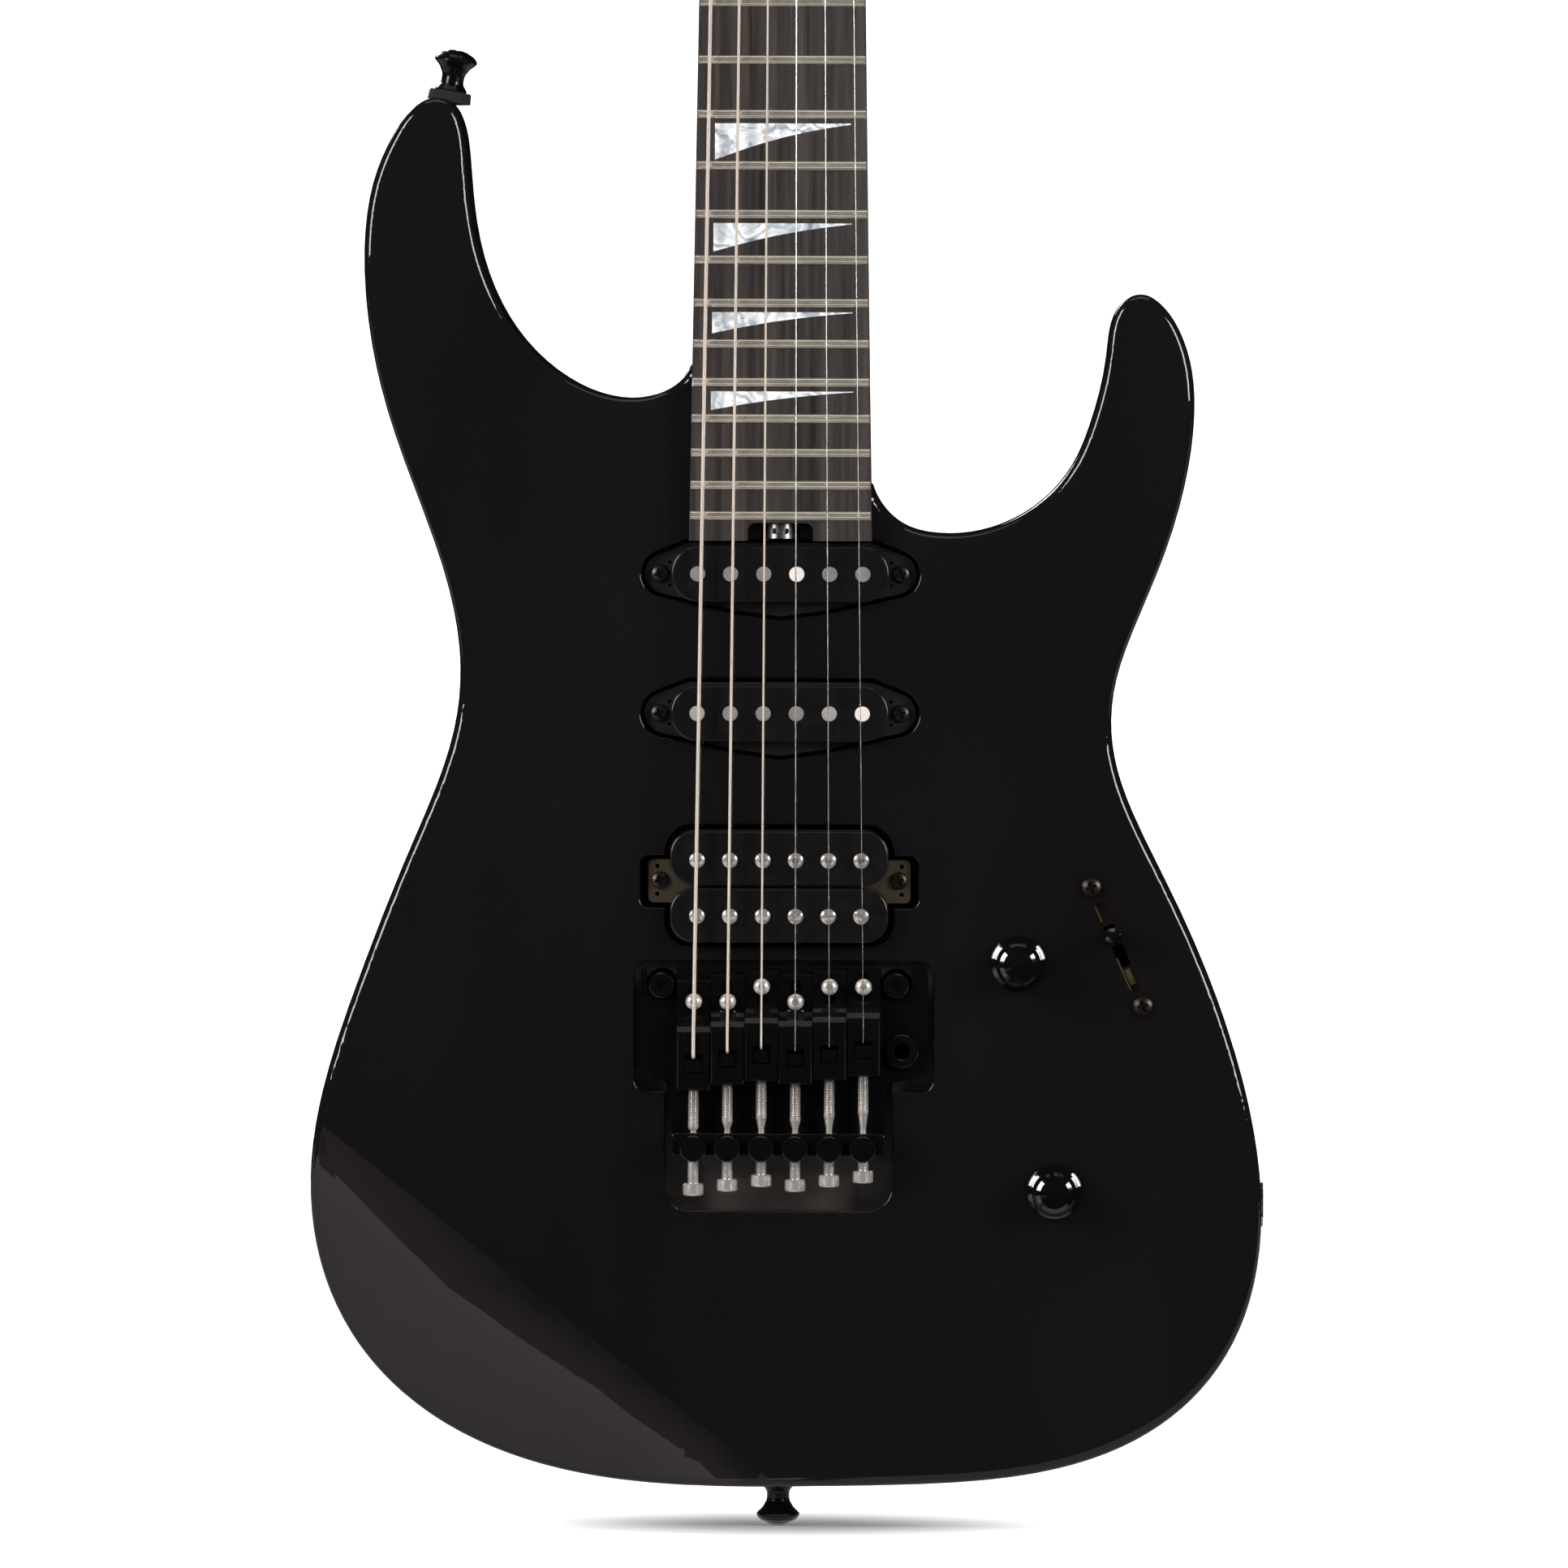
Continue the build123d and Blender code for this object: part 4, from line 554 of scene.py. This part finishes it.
def switch_strip(name, material, along, across, depth, bow=0.0, chamfer=0.12, steps=14):
    """Chamfered strip in the slot, bowed towards the front; depth is along Y."""
    e = chamfer
    t0, t1 = across
    y0, y1 = depth
    section = [(t0 + e, y1), (t1 - e, y1), (t1, y1 - e), (t1, y0 + e),
               (t1 - e, y0), (t0 + e, y0), (t0, y0 + e), (t0, y1 - e)]
    rings = []
    for k in range(steps + 1):
        u = k / steps
        centre = SLOT_MIDDLE + SLOT_ALONG * (along[0] + (along[1] - along[0]) * u)
        lift = -bow * math.sin(math.pi * u)
        rings.append([(centre + SLOT_ACROSS * t + Vector((0, y + lift, 0))) * MM
                      for t, y in section])
    strip = skin(name, rings, material, smooth=False)
    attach(strip, "body")


# name, material, along the slot, across it, depth, bow
for strip in (
        ("switch_board_upper", BOARD, (-16.6, -7.0), (-2.2, 2.2), (-12.4, -11.5), 0.0),
        ("switch_board_lower", BOARD, (7.0, 16.6), (-2.2, 2.2), (-12.4, -11.5), 0.0),
        ("switch_leaf_upper", LEAF, (-15.0, -8.8), (-1.75, -1.1), (-15.2, -12.5), 0.3),
        ("switch_leaf_lower", LEAF, (8.0, 13.2), (-1.0, 0.8), (-13.4, -12.5), 0.5),
        ("switch_leaf_side", LEAF, (3.4, 15.6), (-1.95, -1.35), (-15.6, -12.5), 0.2)):
    switch_strip(*strip)

# ------------------------------------------------------------ stage
FLOOR_Z = -0.0093
FLOOR_END = 1.2
SWEEP_RADIUS = 1.2
TABLE_GLOW = 0.42


def floor_material():
    m = Surface("pale_floor", base=(0.86, 0.86, 0.86), rough=0.9, specular=0.0)
    rays = m.node("ShaderNodeLightPath").outputs
    geometry = m.node("ShaderNodeNewGeometry").outputs
    x, y, _ = m.node("ShaderNodeSeparateXYZ", {0: geometry["Position"]}).outputs

    def calc(operation, a, b=0.5):
        return m.node("ShaderNodeMath", {0: a, 1: b}, operation=operation).outputs[0]

    def smooth(value, start, end, low, high):
        return m.node("ShaderNodeMapRange", {
            "From Min": start, "From Max": end, "To Min": low, "To Max": high,
            "Value": value}, interpolation_type="SMOOTHSTEP").outputs[0]

    # grey for light and camera, nearly black in reflections
    grey = m.ramp(m.noise(scale=3, detail=3), [(0.3, (0.49,) * 3), (0.7, (0.51,) * 3)])
    m.feed("Base Color", color_mix(m.tree, rays["Is Glossy Ray"], grey,
                                   (0.004, 0.004, 0.004, 1)))
    # soft elliptical contact shade below the body, pure white away from it
    across = calc("DIVIDE", calc("SUBTRACT", x, 0.002), 0.118)
    deep = calc("DIVIDE", calc("ADD", y, 0.0), 0.070)
    squares = calc("ADD", calc("MULTIPLY", across, across), calc("MULTIPLY", deep, deep))
    camera_glow = smooth(calc("SQRT", squares), start=0.15, end=1.0, low=0.10, high=1.0)
    # the lit part of the table, which only reflections see
    table_glow = calc("MULTIPLY", smooth(y, start=-0.12, end=-0.09, low=0.0, high=TABLE_GLOW),
                      smooth(y, start=0.6, end=1.0, low=1.0, high=0.0))
    m.inputs["Emission Color"].default_value = (1, 0.985, 0.97, 1)
    m.feed("Emission Strength", calc(
        "ADD", calc("MULTIPLY", rays["Is Camera Ray"], camera_glow),
        calc("MULTIPLY", rays["Is Glossy Ray"], table_glow)))
    # seen from behind, the sweep is clear, so the guitar's back can be looked at
    clear = m.node("ShaderNodeBsdfTransparent")
    see_through = m.node("ShaderNodeMixShader", {
        0: calc("MULTIPLY", geometry["Backfacing"], rays["Is Camera Ray"]),
        1: m.tree.nodes["Principled BSDF"].outputs[0], 2: clear.outputs[0]})
    m.tree.links.new(see_through.outputs[0], m.tree.nodes["Material Output"].inputs["Surface"])
    return m.material


def pale_sweep():
    """Floor that curves up into a backdrop."""
    mesh = bpy.data.meshes.new("sweep")
    profile = [(-6.0, FLOOR_Z), (FLOOR_END, FLOOR_Z)]
    for k in range(1, 13):
        a = math.pi / 2 * k / 12
        profile.append((FLOOR_END + SWEEP_RADIUS * math.sin(a),
                        FLOOR_Z + SWEEP_RADIUS * (1 - math.cos(a))))
    profile.append((FLOOR_END + SWEEP_RADIUS, 5.0))
    mesh.from_pydata([(x, y, z) for y, z in profile for x in (-5.0, 5.0)], [],
                     [(2 * k, 2 * k + 1, 2 * k + 3, 2 * k + 2) for k in range(len(profile) - 1)])
    link("pale_sweep", mesh, floor_material(), smooth=True)


def studio_world():
    """White to the camera, mid grey as light, nearly black in reflections."""
    scene = bpy.context.scene
    world = bpy.data.worlds.new("studio") if scene.world is None else scene.world
    scene.world = world
    world.use_nodes = True
    tree = world.node_tree
    background = tree.nodes["Background"]
    rays = add_node(tree, "ShaderNodeLightPath").outputs
    unseen = color_mix(tree, rays["Is Glossy Ray"], (0.50, 0.50, 0.505, 1),
                       (0.010, 0.010, 0.011, 1))
    sky = color_mix(tree, rays["Is Camera Ray"], unseen, (1, 1, 1, 1))
    tree.links.new(sky, background.inputs["Color"])
    background.inputs["Strength"].default_value = 1.0


pale_sweep()
studio_world()


# ------------------------------------------------------------ lights
def area(name, location, target, size, power, color):
    """Rectangular light aimed at target, hidden from the camera."""
    light = bpy.data.lights.new(name, "AREA")
    light.shape = "RECTANGLE"
    light.size, light.size_y = size
    light.energy = power
    light.color = color
    obj = bpy.data.objects.new(name, light)
    bpy.context.scene.collection.objects.link(obj)
    obj.location = location
    aim = Vector(target) - Vector(location)
    obj.rotation_euler = aim.to_track_quat("-Z", "Y").to_euler()
    obj.visible_camera = False
    return obj


def card(name, near, far, glow, tint):
    """Sheet just above the floor that only reflections see.

    It spans two rows of (x, y) points; glow is its strength at the near and far rows.
    """
    mesh = bpy.data.meshes.new(name)
    count = len(near)
    mesh.from_pydata([(x, y, -0.0085) for x, y in near + far], [],
                     [(k, k + 1, count + k + 1, count + k) for k in range(count - 1)])
    uv = mesh.uv_layers.new(name="uv")
    for loop in mesh.loops:
        uv.data[loop.index].uv = (0.0 if loop.vertex_index < count else 1.0, 0.0)
    material = bpy.data.materials.new(name)
    material.use_nodes = True
    tree = material.node_tree
    tree.nodes.clear()
    coords = add_node(tree, "ShaderNodeTexCoord")
    split = add_node(tree, "ShaderNodeSeparateXYZ", {0: coords.outputs["UV"]})
    fade = add_node(tree, "ShaderNodeMapRange", {
        "Value": split.outputs[0], "To Min": glow[0], "To Max": glow[1]},
        interpolation_type="SMOOTHSTEP")
    emission = add_node(tree, "ShaderNodeEmission", {
        "Color": (*tint, 1), "Strength": fade.outputs[0]})
    add_node(tree, "ShaderNodeOutputMaterial", {0: emission.outputs[0]})
    obj = link(name, mesh, material, smooth=False)
    obj.visible_camera = False
    obj.visible_diffuse = False
    obj.visible_shadow = False
    obj.visible_transmission = False


# x, y along the edge shared by the two cards
CARD_EDGE = [
    (-0.75, -0.43), (-0.235, -0.418), (-0.211, -0.343), (-0.1855, -0.257), (-0.160, -0.195),
    (-0.1336, -0.170), (-0.110, -0.154), (-0.0868, -0.140), (-0.0623, -0.108),
    (-0.040, -0.084), (-0.015, -0.050)]
CARD_BACK = -0.02

area("soft_left", location=(-1.45, -1.15, 0.92), target=(0, -0.02, 0.45),
     size=(0.6, 1.05), power=27, color=(1, 0.98, 0.95))
area("soft_right", location=(1.45, -1.15, 0.78), target=(0, -0.02, 0.45),
     size=(0.6, 0.85), power=22, color=(1, 0.98, 0.95))
area("top_soft", location=(0, -0.25, 2.6), target=(0, 0, 0.35),
     size=(2.4, 1.0), power=7.5, color=(1, 0.96, 0.90))
card("bevel_glow", near=[(x, CARD_BACK) for x, y in CARD_EDGE], far=CARD_EDGE,
     glow=(0.6068, 0.8288), tint=(1, 0.88, 0.86))
card("bevel_shade", near=CARD_EDGE,
     far=[(x, CARD_BACK + 3.2 * (y - CARD_BACK)) for x, y in CARD_EDGE],
     glow=(0.25, 0.0), tint=(1, 0.84, 0.72))
area("back_soft", location=(-0.85, 1.35, 1.25), target=(0, 0, 0.3),
     size=(0.9, 0.6), power=16, color=(1, 0.99, 0.97))
# light from below that only these pieces catch
under_fill = area("under_fill", location=(0, -0.42, 0.004), target=(0, 0.0, 0.34),
                  size=(0.8, 0.34), power=0.45, color=(1, 0.95, 0.9))
receivers = bpy.data.collections.new("under_fill_receivers")
for name in ("frets", "intonation_screws", "pickup_poles", "strap_buttons"):
    receivers.objects.link(pieces[name])
under_fill.light_linking.receiver_collection = receivers

# ------------------------------------------------------------ camera
VIEW_CENTRE = (0.00095, -0.026, 0.2264)
VIEW_WIDTH = 0.49424405  # width seen at the view centre
CAMERA_DISTANCE = 4.5
CAMERA_HEIGHT = 0.36
CAMERA_YAW = math.radians(0.9)
CAMERA_LEAN = -0.00372   # x per unit of height
SENSOR_WIDTH = 36


def long_lens():
    """Level, almost square-on camera with a slight lean, shifted to the view centre."""
    data = bpy.data.cameras.new("cam")
    camera = bpy.data.objects.new("cam", data)
    bpy.context.scene.collection.objects.link(camera)
    bpy.context.scene.camera = camera
    x, y, z = VIEW_CENTRE
    eye = Vector((x + CAMERA_DISTANCE * math.tan(CAMERA_YAW), -CAMERA_DISTANCE, CAMERA_HEIGHT))
    sight = Vector((x, y, eye.z)) - eye
    forward = sight.normalized()
    right = forward.cross(Vector((CAMERA_LEAN, 0, 1)).normalized()).normalized()
    up = right.cross(forward).normalized()
    turn = Matrix((right, up, -forward)).transposed()
    camera.matrix_world = Matrix.Translation(eye) @ turn.to_4x4()
    data.sensor_width = SENSOR_WIDTH
    data.lens = SENSOR_WIDTH * sight.length / VIEW_WIDTH
    data.shift_y = (z - eye.z) / VIEW_WIDTH
    data.clip_start = 0.05
    data.clip_end = 60


long_lens()
bpy.context.scene.view_settings.view_transform = "Standard"
bpy.context.scene.view_settings.look = "None"
